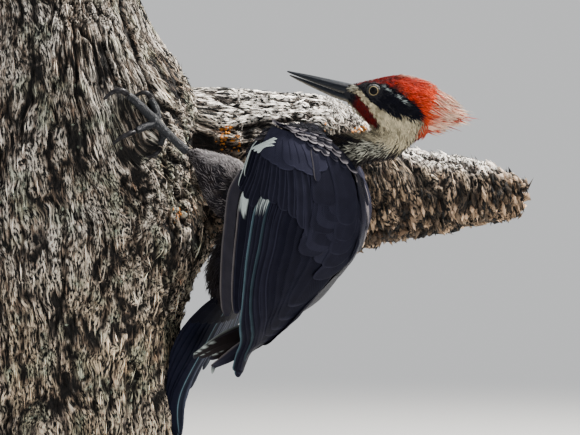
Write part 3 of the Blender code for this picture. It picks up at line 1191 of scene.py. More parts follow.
class Hue:
    """The plumage's colours, with three tones of painted light at the end."""

    BLACK = np.array([0.0057, 0.0060, 0.0120])
    SLATE = np.array([0.0148, 0.0150, 0.0250])
    BROWN = np.array([0.040, 0.030, 0.024])
    WHITE = np.array([0.60, 0.68, 0.66])
    CREAM = np.array([0.72, 0.63, 0.42])
    BUFF = np.array([0.17, 0.13, 0.08])
    DARK_RED = np.array([0.10, 0.004, 0.004])
    RED = np.array([0.66, 0.020, 0.008])
    ORANGE = np.array([0.95, 0.13, 0.025])
    # Painted light: a lit tone for highlights on feather edges and tips.
    LIT = np.array([0.28, 0.25, 0.25])
    # Painted sheen: a blue-grey highlight for edges and shafts of flight and tail feathers.
    SKY_BLUE = np.array([0.15, 0.25, 0.30])
    # Painted sunlight: the whitish tips on the rim of the crest.
    SUNLIT_TIP = np.array([1.0, 0.80, 0.60])


@dataclass(frozen=True)
class Markings:
    """The pattern of colours, the same for skin and coat, in the head's and neck's own axes."""

    head: Axes
    body: Axes
    crown: tuple = ((-31.6, -9.0), (-28, -2), (-22.5, 4), (-14, 9.0), (-5, 11.2), (5, 14.4),
                    (12, 15.6), (24, 12.4), (30, 8.6), (40, 5))
    mask: tuple = ((-27.2, -3.2), (-18.3, -4.8), (-6.1, -5.9), (5.4, -4.4), (14.8, -2.0),
                   (21.6, 1.8), (27, 4.4), (32, 5.4), (40, 6))
    moustache_top: tuple = ((4.3, -15.8), (13.4, -8.6), (19.4, -4.3), (27.2, 0.6), (38, 2.6))
    moustache_foot: tuple = ((6.4, -20.6), (13.7, -18.2), (20.5, -13.6), (30.2, -7.4),
                             (40.4, -2.0))
    brow: tuple = ((-21.4, -1.2), (-12, 4.7), (-1.3, 9.4), (9.2, 13.5))
    nape: tuple = ((-34.0, -16.5), (-27, -24), (-18.7, -28.6), (-7.4, -29.4), (0, -31))

    @staticmethod
    def line(keys: tuple, places: Array) -> Array:
        """The second coordinate of a bent line at places of the first."""
        return np.interp(places, *np.array(keys, float).T)

    def on_head(self, points: Array) -> Array:
        """Colours of places on the head and crest.

        Args:
            points: World places, one row each.

        Returns:
            One colour for each place.
        """
        local = self.head.local(points)
        ragged = noise(points, 1.6 * MM, 11) * 0.9 + noise(points, 4.5 * MM, 12) * 0.8
        forward = local[:, 0] + noise(points, 3.0 * MM, 13) * 0.8
        up = local[:, 2] + ragged
        colour = np.tile(Hue.BLACK, (len(points), 1))

        def lay(tone: Array, share: Array) -> None:
            """Lays a tone over the colours."""
            nonlocal colour
            colour = mix(colour, tone, np.clip(share, 0, 1)[:, None])

        streak = noise(points, 1.3 * MM, 14)[:, None]
        under = self.line(self.mask, forward) - up
        cream = mix(Hue.CREAM, Hue.BUFF, 0.85 * ramp(streak, -0.05, 0.75))
        dash = ramp(noise(points, (1.6 * MM, 1.6 * MM, 4.5 * MM), 16), 0.12, 0.45)
        dash = dash * ramp(under, 7.0, 13.0) * ramp(-forward, -16, -2)
        cream = mix(cream, Hue.BROWN, 0.85 * dash[:, None])
        in_front = ramp(forward - self.line(self.nape, local[:, 2]), -0.5, 0.9)
        lay(cream, ramp(under, -0.5, 0.5) * in_front)
        top, foot = (self.line(keys, forward) for keys in (self.moustache_top, self.moustache_foot))
        inside = ramp(top - up, -0.5, 0.5) * ramp(up - foot, -0.5, 0.5) * ramp(forward, 3.0, 4.6)
        tone = mix(Hue.BLACK, mix(Hue.DARK_RED, Hue.RED, 0.06), ramp(31 - forward, 0, 5)[:, None])
        tone = mix(tone, Hue.BLACK, ramp(8.0 - forward, 0, 2.5)[:, None])
        lay(mix(tone, Hue.BLACK, 0.75 * ramp(streak, -0.1, 0.7)), inside)
        throat = ramp(foot - up, 0.0, 1.5) * ramp(forward, -4.0, 2.0)
        lay(mix(Hue.CREAM, Hue.BROWN, 0.35 + 0.5 * ramp(streak, -0.2, 0.6)), 0.8 * throat)
        away = np.abs(up - ragged * 0.6 - self.line(self.brow, forward))
        along = ramp(forward, -14, -5) * ramp(10.5 - forward, 0, 2)
        lay(mix(Hue.WHITE, Hue.BLACK, 0.15), (1 - ramp(away, 0.35, 1.2)) * along * 0.85)
        # Redder and more orange towards the back of the crest, partly painted sunlight on its rim.
        behind = ramp(-forward, -12, 22)[:, None]
        red = mix(mix(Hue.DARK_RED, Hue.RED, 0.35), Hue.RED, behind)
        red = mix(red, Hue.ORANGE, 0.55 * ramp(-forward, 14, 46)[:, None])
        shade = ramp(streak, -0.25, 0.35) * (0.95 - 0.4 * behind)
        red = mix(red, mix(Hue.DARK_RED, Hue.BLACK, 0.5 * (1 - behind)), shade)
        above = ramp(up - self.line(self.crown, forward), -0.5, 0.7)
        lay(red, np.where(forward < -31.6, ramp(up, -17, -10), above))
        return colour

    def on_neck(self, points: Array) -> Array:
        """Colours of places on the neck: a cream side band between dark front and nape.

        Args:
            points: World places, one row each.

        Returns:
            One colour for each place.
        """
        step, middle, way = along_neck(points, self.body)
        front = unit(np.stack([-way[:, 2], 0 * way[:, 0], way[:, 0]], 1))
        facing = np.sum(unit(points - middle) * front, axis=1)
        facing += noise(points, 4.5 * MM, 21) * 0.22
        side = ramp(facing, -0.62, -0.48) * (1 - ramp(facing, 0.30, 0.46))
        along = step / (NECK_STEPS - 1.0) + noise(points, 7 * MM, 23) * 0.08
        side *= ramp(along, 0.22, 0.42)
        streak = ramp(noise(points, (2.6 * MM, 2.6 * MM, 1.6 * MM), 22), -0.25, 0.3)[:, None]
        cream = mix(mix(Hue.CREAM, Hue.WHITE, 0.5), Hue.BROWN * 0.5, 0.95 * streak)
        dash = ramp(noise(points, (1.8 * MM, 1.8 * MM, 5 * MM), 24), 0.10, 0.40)
        cream = mix(cream, Hue.BROWN * 0.7, (0.8 * dash * ramp(along, 0.4, 0.7))[:, None])
        return mix(mix(Hue.BLACK, Hue.BROWN, 0.7 * (1 - streak)), cream, side[:, None])

    def on_trunk(self, points: Array) -> Array:
        """Colours of places on the trunk and thighs: sooty black with a little brown.

        Args:
            points: World places, one row each.

        Returns:
            One colour for each place.
        """
        share = ramp(noise(points, 9 * MM, 31), -0.2, 1.0)[:, None]
        low = ramp(-self.body.local(points)[:, 1], 15, 45)[:, None]
        return mix(mix(Hue.BLACK, Hue.SLATE, share), Hue.BROWN, 0.5 * low)

    def on_wing(self, points: Array) -> Array:
        """Colours of places on the wings' arms: slate black."""
        return mix(Hue.BLACK, Hue.SLATE, ramp(noise(points, 5 * MM, 41), -0.6, 0.8)[:, None])

    def colour(self, points: Array, parts: Array) -> Array:
        """Colours of places, by the number of each one's part in the order of Part.

        Args:
            points: World places, one row each.
            parts: The number of each one's part.

        Returns:
            One colour for each place.
        """
        rules = (self.on_head, self.on_head, self.on_neck, self.on_trunk, self.on_wing,
                 self.on_wing, self.on_trunk, self.on_trunk)
        colours = np.zeros_like(points)
        for number, rule in enumerate(rules):
            chosen = parts == number
            if chosen.any():
                colours[chosen] = rule(points[chosen])
        up = self.head.local(points)[:, 2]
        seam = (parts == list(Part).index(Part.NECK)) & (up > -36)
        if seam.any():
            share = ramp(up[seam], -36, -28)[:, None]
            colours[seam] = mix(colours[seam], self.on_head(points[seam]), share)
        return colours


# ---- Skin ------------------------------------------------------------------------------------


@dataclass
class Skin:
    """One skin for the whole bird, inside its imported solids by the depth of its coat."""

    nodes: dict[str, bpy.types.Object]
    body: Axes
    head: Axes
    markings: Markings
    finishes: Finishes
    voxel: float = 1.6 * MM
    foot_voxel: float = 0.55 * MM
    proxy_voxel: float = 5.0 * MM
    swell: float = 0.45 * MM
    depths: tuple[float, ...] = (1.7, 1.0, 3.2, 4.5, 2.9, 2.9, 3.4, 3.4)  # in the order of Part
    crest_core: float = 0.58

    def __post_init__(self) -> None:
        """Builds the body's surface and its fields."""
        self._grow()
        self.tint = self.markings.colour(self.places, self.parts)
        self.search = tree(self.places, self.triangles)
        self.lies = self._lie_field()
        self._unwrap()

    def of(self, *parts: Part) -> Array:
        """True for each vertex that belongs to one of the parts."""
        return np.isin(self.parts, [list(Part).index(part) for part in parts])

    def _grow(self) -> None:
        """Makes the surface of the body, smooths it and draws it in."""
        core = closed(self.nodes["crest"])
        base = Vector(self.head.world([-30.0, 0.0, 4.0]))
        for vertex in core.vertices:
            vertex.co = base + (vertex.co - base) * self.crest_core
        flesh = [closed(self.nodes[part.value], self.swell) for part in Part if part is not Part.CREST]
        self.shell = remeshed(fused([*flesh, core]), self.voxel)
        places, triangles, edges = arrays(self.shell)
        places = relaxed(places, edges, 6)
        blocks = []
        for number, part in enumerate(Part):
            spots, faces, _ = arrays(closed(self.nodes[part.value]))
            blocks.append((spots, faces, np.full(len(faces), number)))
        spots, faces, owners = joined(blocks)
        self.parts = owners[nearest_on(tree(spots, faces), places)[2]]
        depth = relaxed(np.array(self.depths)[self.parts] * MM, edges, 10)
        normals = relaxed(vertex_normals(places, triangles), edges, 4)
        places = places - unit(normals) * (depth + self.swell)[:, None]
        places = relaxed(places, edges, 4)
        local = self.body.local(places)
        wings = self.of(Part.WING_LEFT, Part.WING_RIGHT)
        under = wings * ramp(50.0 - local[:, 2], 0.0, 9.0) * 4.5
        places = self.body.world(local - unit(local * [1, 1, 0]) * under[:, None])
        self.shell.vertices.foreach_set("co", places.astype(np.float32).ravel())
        self.places, self.triangles, self.edges = places, triangles, edges
        self.normals = unit(relaxed(vertex_normals(places, triangles), edges, 3))

    def _lie_field(self) -> Array:
        """The direction of the coat at every vertex, smoothed along the skin.

        Returns:
            One direction for each vertex.
        """
        lies = np.tile(self.body.turn([0, 0, -1]), (len(self.places), 1))
        head, neck, trunk = self.of(Part.HEAD, Part.CREST), self.of(Part.NECK), self.of(Part.TRUNK)
        local = self.head.local(self.places[head])
        to_crest = unit(np.array([-72.0, 0.0, 6.0]) - local)
        to_neck = unit(np.array([-34.0, 0.0, -52.0]) - local)
        share = ramp(local[:, 2], -9.0, 7.0)[:, None]
        lies[head] = unit(mix(to_neck, to_crest, share)) @ self.head.axes
        lies[neck] = -along_neck(self.places[neck], self.body)[2]
        away = self.places[trunk] - neck_line(self.body)[COLLAR]
        near = np.linalg.norm(away, axis=1)[:, None]
        lies[trunk] = unit(mix(unit(away), lies[trunk], ramp(near, 0.020, 0.060)))
        for side in Side:
            thigh = self.of(Part[f"THIGH_{side.name}"])
            lies[thigh] = unit(box_middle(f"tarsus_{side.word}") - self.places[thigh])
            wing = self.of(Part[f"WING_{side.name}"])
            lies[wing] = self.body.turn([-0.12 * side.value, 0.10, -1.0])
        lies = relaxed(lies, self.edges, 14)
        return unit(lies - self.normals * np.sum(lies * self.normals, axis=1, keepdims=True))

    def _unwrap(self) -> None:
        """Unwraps a coarse copy of the skin, which gives every root its place on a map."""
        coarse = remeshed(self.shell.copy(), self.proxy_voxel)
        helper = linked("unwrap", coarse)
        bpy.context.view_layer.objects.active = helper
        helper.select_set(True)
        bpy.ops.object.mode_set(mode="EDIT")
        bpy.ops.mesh.select_all(action="SELECT")
        bpy.ops.uv.smart_project(angle_limit=1.15, island_margin=0.004)
        bpy.ops.object.mode_set(mode="OBJECT")
        places, triangles, _ = arrays(coarse)
        loops = np.empty(len(coarse.loop_triangles) * 3, np.int32)
        coarse.loop_triangles.foreach_get("loops", loops)
        maps = np.empty(len(coarse.loops) * 2)
        coarse.uv_layers.active.data.foreach_get("uv", maps)
        self.proxy = places[triangles]
        self.proxy_maps = maps.reshape(-1, 2)[loops].reshape(-1, 3, 2)
        self.proxy_search = tree(places, triangles)
        bpy.data.objects.remove(helper)

    def seats(self, roots: Array) -> Array:
        """The place of each root on the skin's unwrap.

        Args:
            roots: Places on the skin, one row each.

        Returns:
            Places on the unwrap, one row each.
        """
        spots, _, hits = nearest_on(self.proxy_search, roots)
        a, b, c = (self.proxy[hits, corner] for corner in range(3))
        whole = np.linalg.norm(np.cross(b - a, c - a), axis=1)
        first = np.linalg.norm(np.cross(b - spots, c - spots), axis=1) / whole
        second = np.linalg.norm(np.cross(c - spots, a - spots), axis=1) / whole
        weights = np.stack([first, second, 1 - first - second], 1)[:, :, None]
        return np.clip(np.sum(self.proxy_maps[hits] * weights, axis=1), PATCH, 1 - PATCH)

    def _foot(self, side: Side) -> Block:
        """A shank and its toes with their scutes: places, triangles and colours.

        Args:
            side: The side.

        Returns:
            The block.
        """
        mesh = fused([closed(self.nodes[name], 0.55 * MM) for name in side.foot])
        spots, faces, edges = arrays(remeshed(mesh, self.foot_voxel))
        spots = relaxed(spots, edges, 7)
        normals = vertex_normals(spots, faces)
        spots = spots + normals * 0.15 * MM
        box = np.array(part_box(side.foot[0]), float)
        ankle = np.array([*box.mean(axis=0)[:2], box[1][2]])
        reach = np.linalg.norm(spots - ankle, axis=1) / MM
        band = ramp(np.abs((reach / 1.75) % 1.0 - 0.5) * 2.0, 0.0, 0.5)
        spots = spots + normals * ((band - 0.6) * 0.32 * MM)[:, None]
        spots += normals * (noise(spots, 1.2 * MM, 51) * 0.10 * MM)[:, None]
        tone = mix(np.array([0.004, 0.004, 0.006]), np.array([0.018, 0.021, 0.028]), band[:, None])
        # Pale speckles on the scales: mottle, partly painted glints.
        pale = 0.7 * ramp(noise(spots, 1.6 * MM, 52), 0.35, 0.8)[:, None]
        return spots, faces, mix(tone, np.array([0.22, 0.22, 0.23]), pale)

    def _lid(self, side: Side) -> Block:
        """The bare ring round an eye: places, triangles and colours.

        Args:
            side: The side.

        Returns:
            The block.
        """
        turns, rows = 72, 14
        centre = self.head.world([EYE_FORWARD, EYE_SIDE * side.value, EYE_UP])
        wide, out, high = (self.head.turn(way) for way in np.diag([1.0, side.value, 1.0]))
        spin, turn = np.meshgrid(np.linspace(0, 2 * np.pi, turns, endpoint=False),
                                 np.linspace(0, 2 * np.pi, rows, endpoint=False), indexing="ij")
        fold = 0.16 * np.cos(2 * spin) + 0.07 * np.sin(9 * spin + 2 * turn)
        radius = (4.98 + fold) + (1.02 + 0.10 * np.cos(3 * spin)) * np.cos(turn)
        rise = 3.75 - 0.75 * (radius - 4.2) + 0.62 * np.sin(turn)
        spots = (centre + MM * rise[..., None] * out
                 + MM * (radius * np.cos(spin) * 1.03)[..., None] * wide
                 + MM * (radius * np.sin(spin) * 0.97)[..., None] * high).reshape(-1, 3)
        grid = np.arange(turns * rows).reshape(turns, rows)
        faces = halved(woven(np.pad(grid, ((0, 1), (0, 1)), mode="wrap")))
        if inside_out(spots, faces):
            faces = faces[:, ::-1]
        grey = mix(np.array([0.018, 0.019, 0.021]), np.array([0.060, 0.062, 0.062]),
                   ramp(noise(spots, 0.7 * MM, 53), -0.2, 0.8)[:, None])
        inner = ramp(4.6 - radius.reshape(-1), 0.0, 0.45)[:, None]
        return spots, faces, mix(grey, np.array([0.012, 0.012, 0.012]), inner)

    def build(self) -> None:
        """Makes the skin one piece that stands for the nodes of flesh."""
        blocks = [(self.places, self.triangles, self.tint), *map(self._foot, Side),
                  *map(self._lid, Side)]
        places, faces, tints = joined(blocks)
        mesh = bpy.data.meshes.new("skin")
        mesh.from_pydata(places.tolist(), [], faces.tolist())
        paint(mesh, tints)
        dressed(mesh, self.finishes.hide, self.finishes.scale)
        bare = np.arange(len(faces)) >= len(self.triangles)
        mesh.polygons.foreach_set("material_index", bare.astype(np.int32))
        flesh = [part.value for part in Part] + [node for side in Side for node in side.foot]
        settled(linked("skin", mesh), "plumage_black", *flesh)


# ---- Small feathers --------------------------------------------------------------------------


@dataclass(frozen=True)
class Plume:
    """A kind of small feather. Sizes are millimetres.

    Attributes:
        spacing: Least distance between two roots.
        length: From root to tip.
        width: Of one lobe.
        lift: Height of the tip over the skin.
        lobes: Lobes that one feather is split into.
        spread: Half the angle that the lobes fan over, in degrees.
        hug: 1 to follow the skin, 0 to stand free of it.
        stray: How far directions differ, in degrees.
        rise: Height of the ridge along a lobe.
        soft: How far the shading follows the skin, from 0 to 1.
    """

    spacing: float
    length: float
    width: float
    lift: float
    lobes: int
    spread: float
    hug: float
    stray: float
    rise: float
    soft: float


@dataclass
class Plumage:
    """Makes coats of small feathers, rooted on the skin."""

    skin: Skin
    finishes: Finishes
    seed: int = 7
    rings: tuple = ((0.34, 1.0), (0.72, 0.82))  # place along a lobe and share of its width
    root_depth: float = 0.4 * MM

    def __post_init__(self) -> None:
        """Works out where the skin's triangles lie on head and body."""
        self.middles = self.skin.places[self.skin.triangles].mean(axis=1)
        self.on_head = self.skin.head.local(self.middles)
        self.on_body = self.skin.body.local(self.middles)

    def rng(self, seed: int) -> np.random.Generator:
        """Random numbers for one use."""
        return np.random.default_rng(self.seed + seed)

    def roots(self, wanted: Array, plume: Plume, seed: int) -> tuple[Array, Array]:
        """Roots strewn over the wanted triangles, and the skin vertex nearest to each.

        Args:
            wanted: Which triangles are wanted.
            plume: The kind of feather.
            seed: The number for the random draws.

        Returns:
            Places of the roots, and the numbers of their skin vertices.
        """
        skin = self.skin
        spots, hits = strewn(skin.places, skin.triangles, wanted, plume.spacing * MM, self.rng(seed))
        return spots, skin.triangles[hits, 0]

    def share(self, *parts: Part) -> Array:
        """True for each skin triangle that belongs to one of the parts."""
        return self.skin.of(*parts)[self.skin.triangles[:, 0]]

    def lay(
        self, name: str, slot: str, spots: Array, owners: Array, plume: Plume, seed: int,
        length: Array | float = 1.0, lift: Array | float = 1.0, lies: Array | None = None,
        tips: Array | None = None, tint: Array | None = None,
    ) -> None:
        """Lays one feather at each root, and makes them a piece that rides on the body.

        Args:
            name: The piece's name.
            slot: Its slot.
            spots: The roots.
            owners: The skin vertex nearest to each root.
            plume: The kind of feather.
            seed: The number for the random draws.
            length: A factor on each feather's length.
            lift: A factor on each feather's lift.
            lies: Directions, where they aren't the skin's own.
            tips: Colours of the tips, where they differ from the roots'.
            tint: Colours, where they aren't the skin's markings.
        """
        rng, skin, lobes, count = self.rng(seed), self.skin, plume.lobes, len(spots)
        tint = skin.markings.colour(spots, skin.parts[owners]) if tint is None else tint

        def each(values: Array) -> Array:
            """The values, once for every lobe."""
            return np.repeat(values, lobes, axis=0)

        roots, up = each(spots), each(skin.normals[owners])
        way = each(skin.lies[owners] if lies is None else lies)
        fan = np.tile(np.linspace(-1.0, 1.0, lobes), count) + rng.normal(0, 0.12, count * lobes)
        base = each(rng.normal(0, plume.stray, count))
        angle = np.radians(base + fan * plume.spread)[:, None]
        way = unit(way * np.cos(angle) + np.cross(way, up) * np.sin(angle))
        side = unit(np.cross(way, up))
        total = len(roots)
        reach = each(np.ones(count) * length) * plume.length * MM * (1 - 0.16 * fan**2)
        reach *= 1 + rng.normal(0, 0.08, total)
        height = each(np.ones(count) * lift) * plume.lift * MM * (1 + rng.normal(0, 0.16, total))
        share = each(rng.uniform(0.66, 1.34, count)) * rng.uniform(0.9, 1.1, total)
        tone = each(tint) * share[:, None]
        tip_tone = each(tint if tips is None else tips) * share[:, None]
        spines = []
        for mark in (0.0, *(place for place, _ in self.rings), 1.0):
            straight = roots + way * (reach * mark)[:, None]
            rise = (height * mark**0.8 - self.root_depth * (1 - mark))[:, None]
            spine = straight + up * rise
            if mark > 0 and plume.hug > 0:
                spot, normal, _ = nearest_on(skin.search, straight)
                spine = mix(spine, spot + normal * rise, plume.hug)
            spines.append(spine)
        rows = np.empty((total, 10, 3))  # root, two rings of four, tip
        shades, facings = np.empty_like(rows), np.empty_like(rows)
        ratio = plume.length / plume.width
        vane = np.array([[0.5, 0.0]] * 9 + [[0.5, ratio]])
        for end, colour in ((0, tone * 0.9), (-1, tip_tone)):
            rows[:, end], shades[:, end], facings[:, end] = spines[end], colour, up
        for ring, (mark, wide) in enumerate(self.rings):
            half, ridge = wide * plume.width * MM / 2, plume.rise * MM
            section = (
                (0.0, -side * half, up * 0.75 - side * 0.65), (0.5, up * ridge, up),
                (1.0, side * half, up * 0.75 + side * 0.65), (0.5, -up * ridge * 0.6, -up),
            )
            for number, (across, offset, facing) in enumerate(section, 1 + ring * 4):
                rows[:, number] = spines[ring + 1] + offset
                shades[:, number] = mix(tone, tip_tone, mark**1.5)
                facings[:, number] = facing
                vane[number] = across, ratio * mark
        turn = np.arange(4)
        over = (turn + 1) % 4
        quads = np.stack([1 + turn, 1 + over, 5 + over, 5 + turn], 1)
        triangles = np.concatenate([np.stack([0 * turn, 1 + over, 1 + turn], 1),
                                    np.stack([5 + turn, 5 + over, 0 * turn + 9], 1)])
        first = (np.arange(total) * 10)[:, None, None]
        seats = each(skin.seats(spots))[:, None, :] + (vane / [1.0, ratio] - 0.5) * PATCH
        sheets = Sheets()
        sheets.add(rows.reshape(-1, 3), (first + quads).reshape(-1, 4),
                   (first + triangles).reshape(-1, 3), shades.reshape(-1, 3),
                   np.tile(vane, (total, 1)), seats.reshape(-1, 2))
        piece = sheets.piece(name, self.finishes.plume, facings.reshape(-1, 3), plume.soft)
        settled(piece, slot)

    @staticmethod
    def eye_gap(local: Array) -> Array:
        """The distance from the nearer eye of places in the head's axes."""
        eyes = np.array([EYE_FORWARD, 0, EYE_UP]) + np.sign(local[:, 1:2]) * [0, EYE_SIDE, 0]
        return np.linalg.norm(local - eyes, axis=1)

    def head_coat(self) -> None:
        """The short feathers of face, crown and cheeks, smallest round the bill and eyes."""
        skin, forward = self.skin, self.on_head[:, 0]
        face = self.share(Part.HEAD, Part.CREST) & (self.eye_gap(self.on_head) > 6.7)
        face &= forward < 34.0
        small = Plume(1.25, 4.2, 0.62, 1.15, 3, 16.0, 1.0, 7.0, 0.13, 0.45)
        spots, owners = self.roots(face & (forward > 2.0), small, 1)
        place = skin.head.local(spots)
        gap = self.eye_gap(place)
        size = 0.62 + 0.5 * ramp(36.0 - place[:, 0], 0.0, 26.0)
        size *= 0.45 + 0.55 * ramp(gap, 6.5, 12.0)
        low = skin.markings.line(skin.markings.moustache_foot, place[:, 0]) - place[:, 2]
        throat = ramp(low, 0.0, 2.0) * ramp(32.0 - place[:, 0], 0.0, 6.0)
        self.lay("coat_face", "plumage_black", spots, owners, small, 2,
                 length=size * (1 + 0.8 * throat),
                 lift=(0.45 + 0.55 * ramp(gap, 6.5, 11.0)) * (1 + 2.6 * throat))
        medium = Plume(1.75, 7.5, 0.95, 1.9, 3, 15.0, 1.0, 8.0, 0.18, 0.4)
        spots, owners = self.roots(face & (forward <= 2.0), medium, 3)
        place = skin.head.local(spots)
        loose = ramp(-place[:, 0], 5.0, 32.0)
        tint = skin.markings.colour(spots, skin.parts[owners])
        red = (tint[:, 0] > 4 * tint[:, 1])[:, None]
        # Painted sunlight: crown tips turn orange towards the back and top, and some topmost near the
        # middle whitish.
        edge = (ramp(-place[:, 0], 10, 34) * (0.4 + 0.6 * ramp(place[:, 2], 6, 24)))[:, None]
        rim = (ramp(5.5 - np.abs(place[:, 1]), 0.0, 3.0) * ramp(place[:, 2], 8.0, 14.0))[:, None]
        rim = rim * ramp(12.0 - place[:, 0], 0.0, 12.0)[:, None]
        rim = rim * self.rng(40).uniform(0, 1, (len(spots), 1))
        tips = np.where(red, mix(tint, Hue.ORANGE, 0.2 + 0.5 * edge), tint)
        tips = np.where(red, mix(tips, Hue.SUNLIT_TIP, rim), tips)
        self.lay("coat_crown", "plumage_red", spots, owners, medium, 4,
                 length=1 + 0.55 * loose, lift=1 + 0.9 * loose, tips=tips)

    def crest_coat(self) -> None:
        """The long loose feathers of the crest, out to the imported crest's point."""
        head = self.skin.head
        wanted = self.share(Part.HEAD, Part.CREST)
        wanted &= (self.on_head[:, 0] < -12.0) & (self.on_head[:, 2] > -13)
        long = Plume(2.1, 19.0, 0.95, 3.2, 4, 9.0, 0.0, 5.0, 0.22, 0.25)
        spots, owners = self.roots(wanted, long, 5)
        count, place, rng = len(spots), head.local(spots), self.rng(6)
        down = -place[:, 2]
        end = np.stack([-69.0 - rng.uniform(-2, 8, count) * 0.6, place[:, 1] * 0.10,
                        6.0 + place[:, 2] * 0.10 - 13.0 * ramp(down, -6.0, 16.0)], 1)
        end[:, 0] += 17.0 * ramp(down, -6.0, 14.0)
        end[:, 0] -= 2.0 * ramp(place[:, 2], 10.0, 26.0)
        reach = np.linalg.norm(end - place, axis=1)
        share = np.clip(reach / long.length, 0.4, 1.9) * rng.uniform(0.62, 1.0, count)
        chance = rng.random((count, 1))
        tone = mix(mix(self.skin.markings.on_head(spots), Hue.RED, 0.6), Hue.ORANGE, 0.45 * chance)
        # Painted sunlight on the crest's tips: whitish towards the back and top, orange elsewhere, a
        # few dark red.
        lit = ramp(-place[:, 0] + 0.35 * place[:, 2], 16.0, 40.0)[:, None]
        tips = np.where(chance > 0.60 - 0.62 * lit, Hue.SUNLIT_TIP, Hue.ORANGE)
        tips = np.where(chance < 0.14, mix(Hue.RED, Hue.DARK_RED, 0.5), tips)
        self.lay("coat_crest", "plumage_red", spots, owners, long, 7,
                 length=np.minimum(share, 1.75), lift=0.25 + 0.35 * ramp(place[:, 2], 8.0, 20.0),
                 lies=unit(end - place) @ head.axes, tint=tone, tips=tips)

    def neck_coat(self) -> None:
        """The neck's feathers, ruffled where the head is turned back."""
        ruff = Plume(1.9, 8.5, 1.05, 2.6, 3, 20.0, 1.0, 12.0, 0.22, 0.35)
        spots, owners = self.roots(self.share(Part.NECK), ruff, 8)
        rng = self.rng(9)
        length, lift = (rng.uniform(*span, len(spots)) for span in ((0.8, 1.3), (0.6, 1.5)))
        self.lay("coat_neck", "plumage_cream", spots, owners, ruff, 10, length=length, lift=lift)

    def trunk_coat(self, hidden: Callable[[Array, Array], Array]) -> None:
        """The trunk's feathers, sleek on the back, downy below, and none where hidden says so.

        Args:
            hidden: True, of places and normals, where a wing lies over.
        """
        skin = self.skin
        trunk = self.share(Part.TRUNK) & ~hidden(self.middles, skin.normals[skin.triangles[:, 0]])
        dorsal = self.on_body[:, 1] > 8.0
        back = Plume(3.0, 17.0, 2.3, 3.6, 5, 20.0, 1.0, 4.0, 0.2, 0.8)
        spots, owners = self.roots(trunk & dorsal, back, 11)
        tint = mix(Hue.BLACK, Hue.SLATE, np.random.default_rng(3).random((len(spots), 1)))
        self.lay("coat_back", "plumage_black", spots, owners, back, 12, tint=tint)
        belly = Plume(2.9, 14.0, 1.5, 4.0, 5, 24.0, 1.0, 9.0, 0.22, 0.5)
        spots, owners = self.roots(trunk & ~dorsal, belly, 13)
        place = skin.body.local(spots)
        flank = ramp(place[:, 0], 2.0, 20.0) * ramp(14.0 - place[:, 2], 0.0, 20.0)
        self.lay("coat_belly", "plumage_black", spots, owners, belly, 14,
                 length=1 + 0.5 * flank, lift=1 + 1.1 * flank)

    def thigh_coat(self) -> None:
        """The downy feathers of the thighs, with painted light on their upper side."""
        down = Plume(1.9, 10.0, 0.9, 3.2, 4, 22.0, 0.9, 12.0, 0.2, 0.4)
        spots, owners = self.roots(self.share(Part.THIGH_LEFT, Part.THIGH_RIGHT), down, 15)
        rng = self.rng(16)
        share = ramp(rng.random(len(spots)), 0.4, 1.0)[:, None]
        tips = mix(Hue.SLATE * 0.8, Hue.BROWN * 1.1, share)
        # Painted light: tips on top of the thighs turn pale pink, and a few stray tips take the lit
        # tone as glints.
        lit = ramp(self.skin.normals[owners][:, 2], 0.45, 0.82)[:, None]
        tips = mix(tips, np.array([1.0, 0.93, 0.93]), lit * (0.5 + 0.5 * share))
        stray = ramp(rng.random((len(spots), 1)), 0.78, 0.94)
        tips = mix(tips, Hue.LIT * 1.5, 0.8 * stray)
        length = rng.uniform(0.7, 1.2, len(spots)) * (1 + 0.5 * stray[:, 0])
        self.lay("coat_thighs", "plumage_black", spots, owners, down, 17, length=length, tips=tips)

    def arm_coat(self, side: Side) -> None:
        """The lesser coverts of a wing's arm, small and round like scales.

        Args:
            side: The wing's side.
        """
        skin = self.skin
        scale = Plume(2.3, 7.5, 1.9, 2.9, 3, 17.0, 1.0, 6.0, 0.2, 0.5)
        wanted = self.share(Part[f"WING_{side.name}"]) & (self.on_body[:, 2] > 47.0)
        spots, owners = self.roots(wanted, scale, 18)
        # Painted highlight: tips high on the arm that face up take the lit tone, at random.
        lit = ramp(skin.body.local(spots)[:, 2], 52.0, 66.0)[:, None]
        lit = lit * ramp(skin.normals[owners][:, 2], 0.5, 0.85)[:, None]
        lit = lit * self.rng(30).uniform(0.0, 1.0, (len(spots), 1)) ** 2
        tips = mix(skin.markings.on_wing(spots), Hue.LIT * 2.2, lit)
        self.lay(f"coat_arm_{side.word}", "plumage_black", spots, owners, scale, 19, tips=tips)

    def bristles(self) -> None:
        """The forward-lying tufts that cover the nostrils."""
        forward, left, up = self.on_head.T
        wanted = (forward > 27.5) & (forward < 34.5) & (up > 3.0) & (up < 8.2)
        tuft = Plume(0.9, 5.6, 0.38, 0.9, 3, 9.0, 0.5, 6.0, 0.12, 0.4)
        spots, owners = self.roots(wanted & (np.abs(left) > 3.5), tuft, 20)
        lies = np.tile(self.skin.head.turn([1.0, 0.0, -0.10]), (len(spots), 1))
        rng = self.rng(21)
        shade = ramp(rng.random(len(spots)), 0.55, 0.8)[:, None]
        tint = mix(mix(Hue.CREAM, Hue.WHITE, 0.4), Hue.BROWN, 0.9 * shade)
        self.lay("coat_nostrils", "plumage_cream", spots, owners, tuft, 22, lies=lies, tint=tint,
                 length=rng.uniform(0.6, 1.15, len(spots)))


# ---- Large feathers --------------------------------------------------------------------------


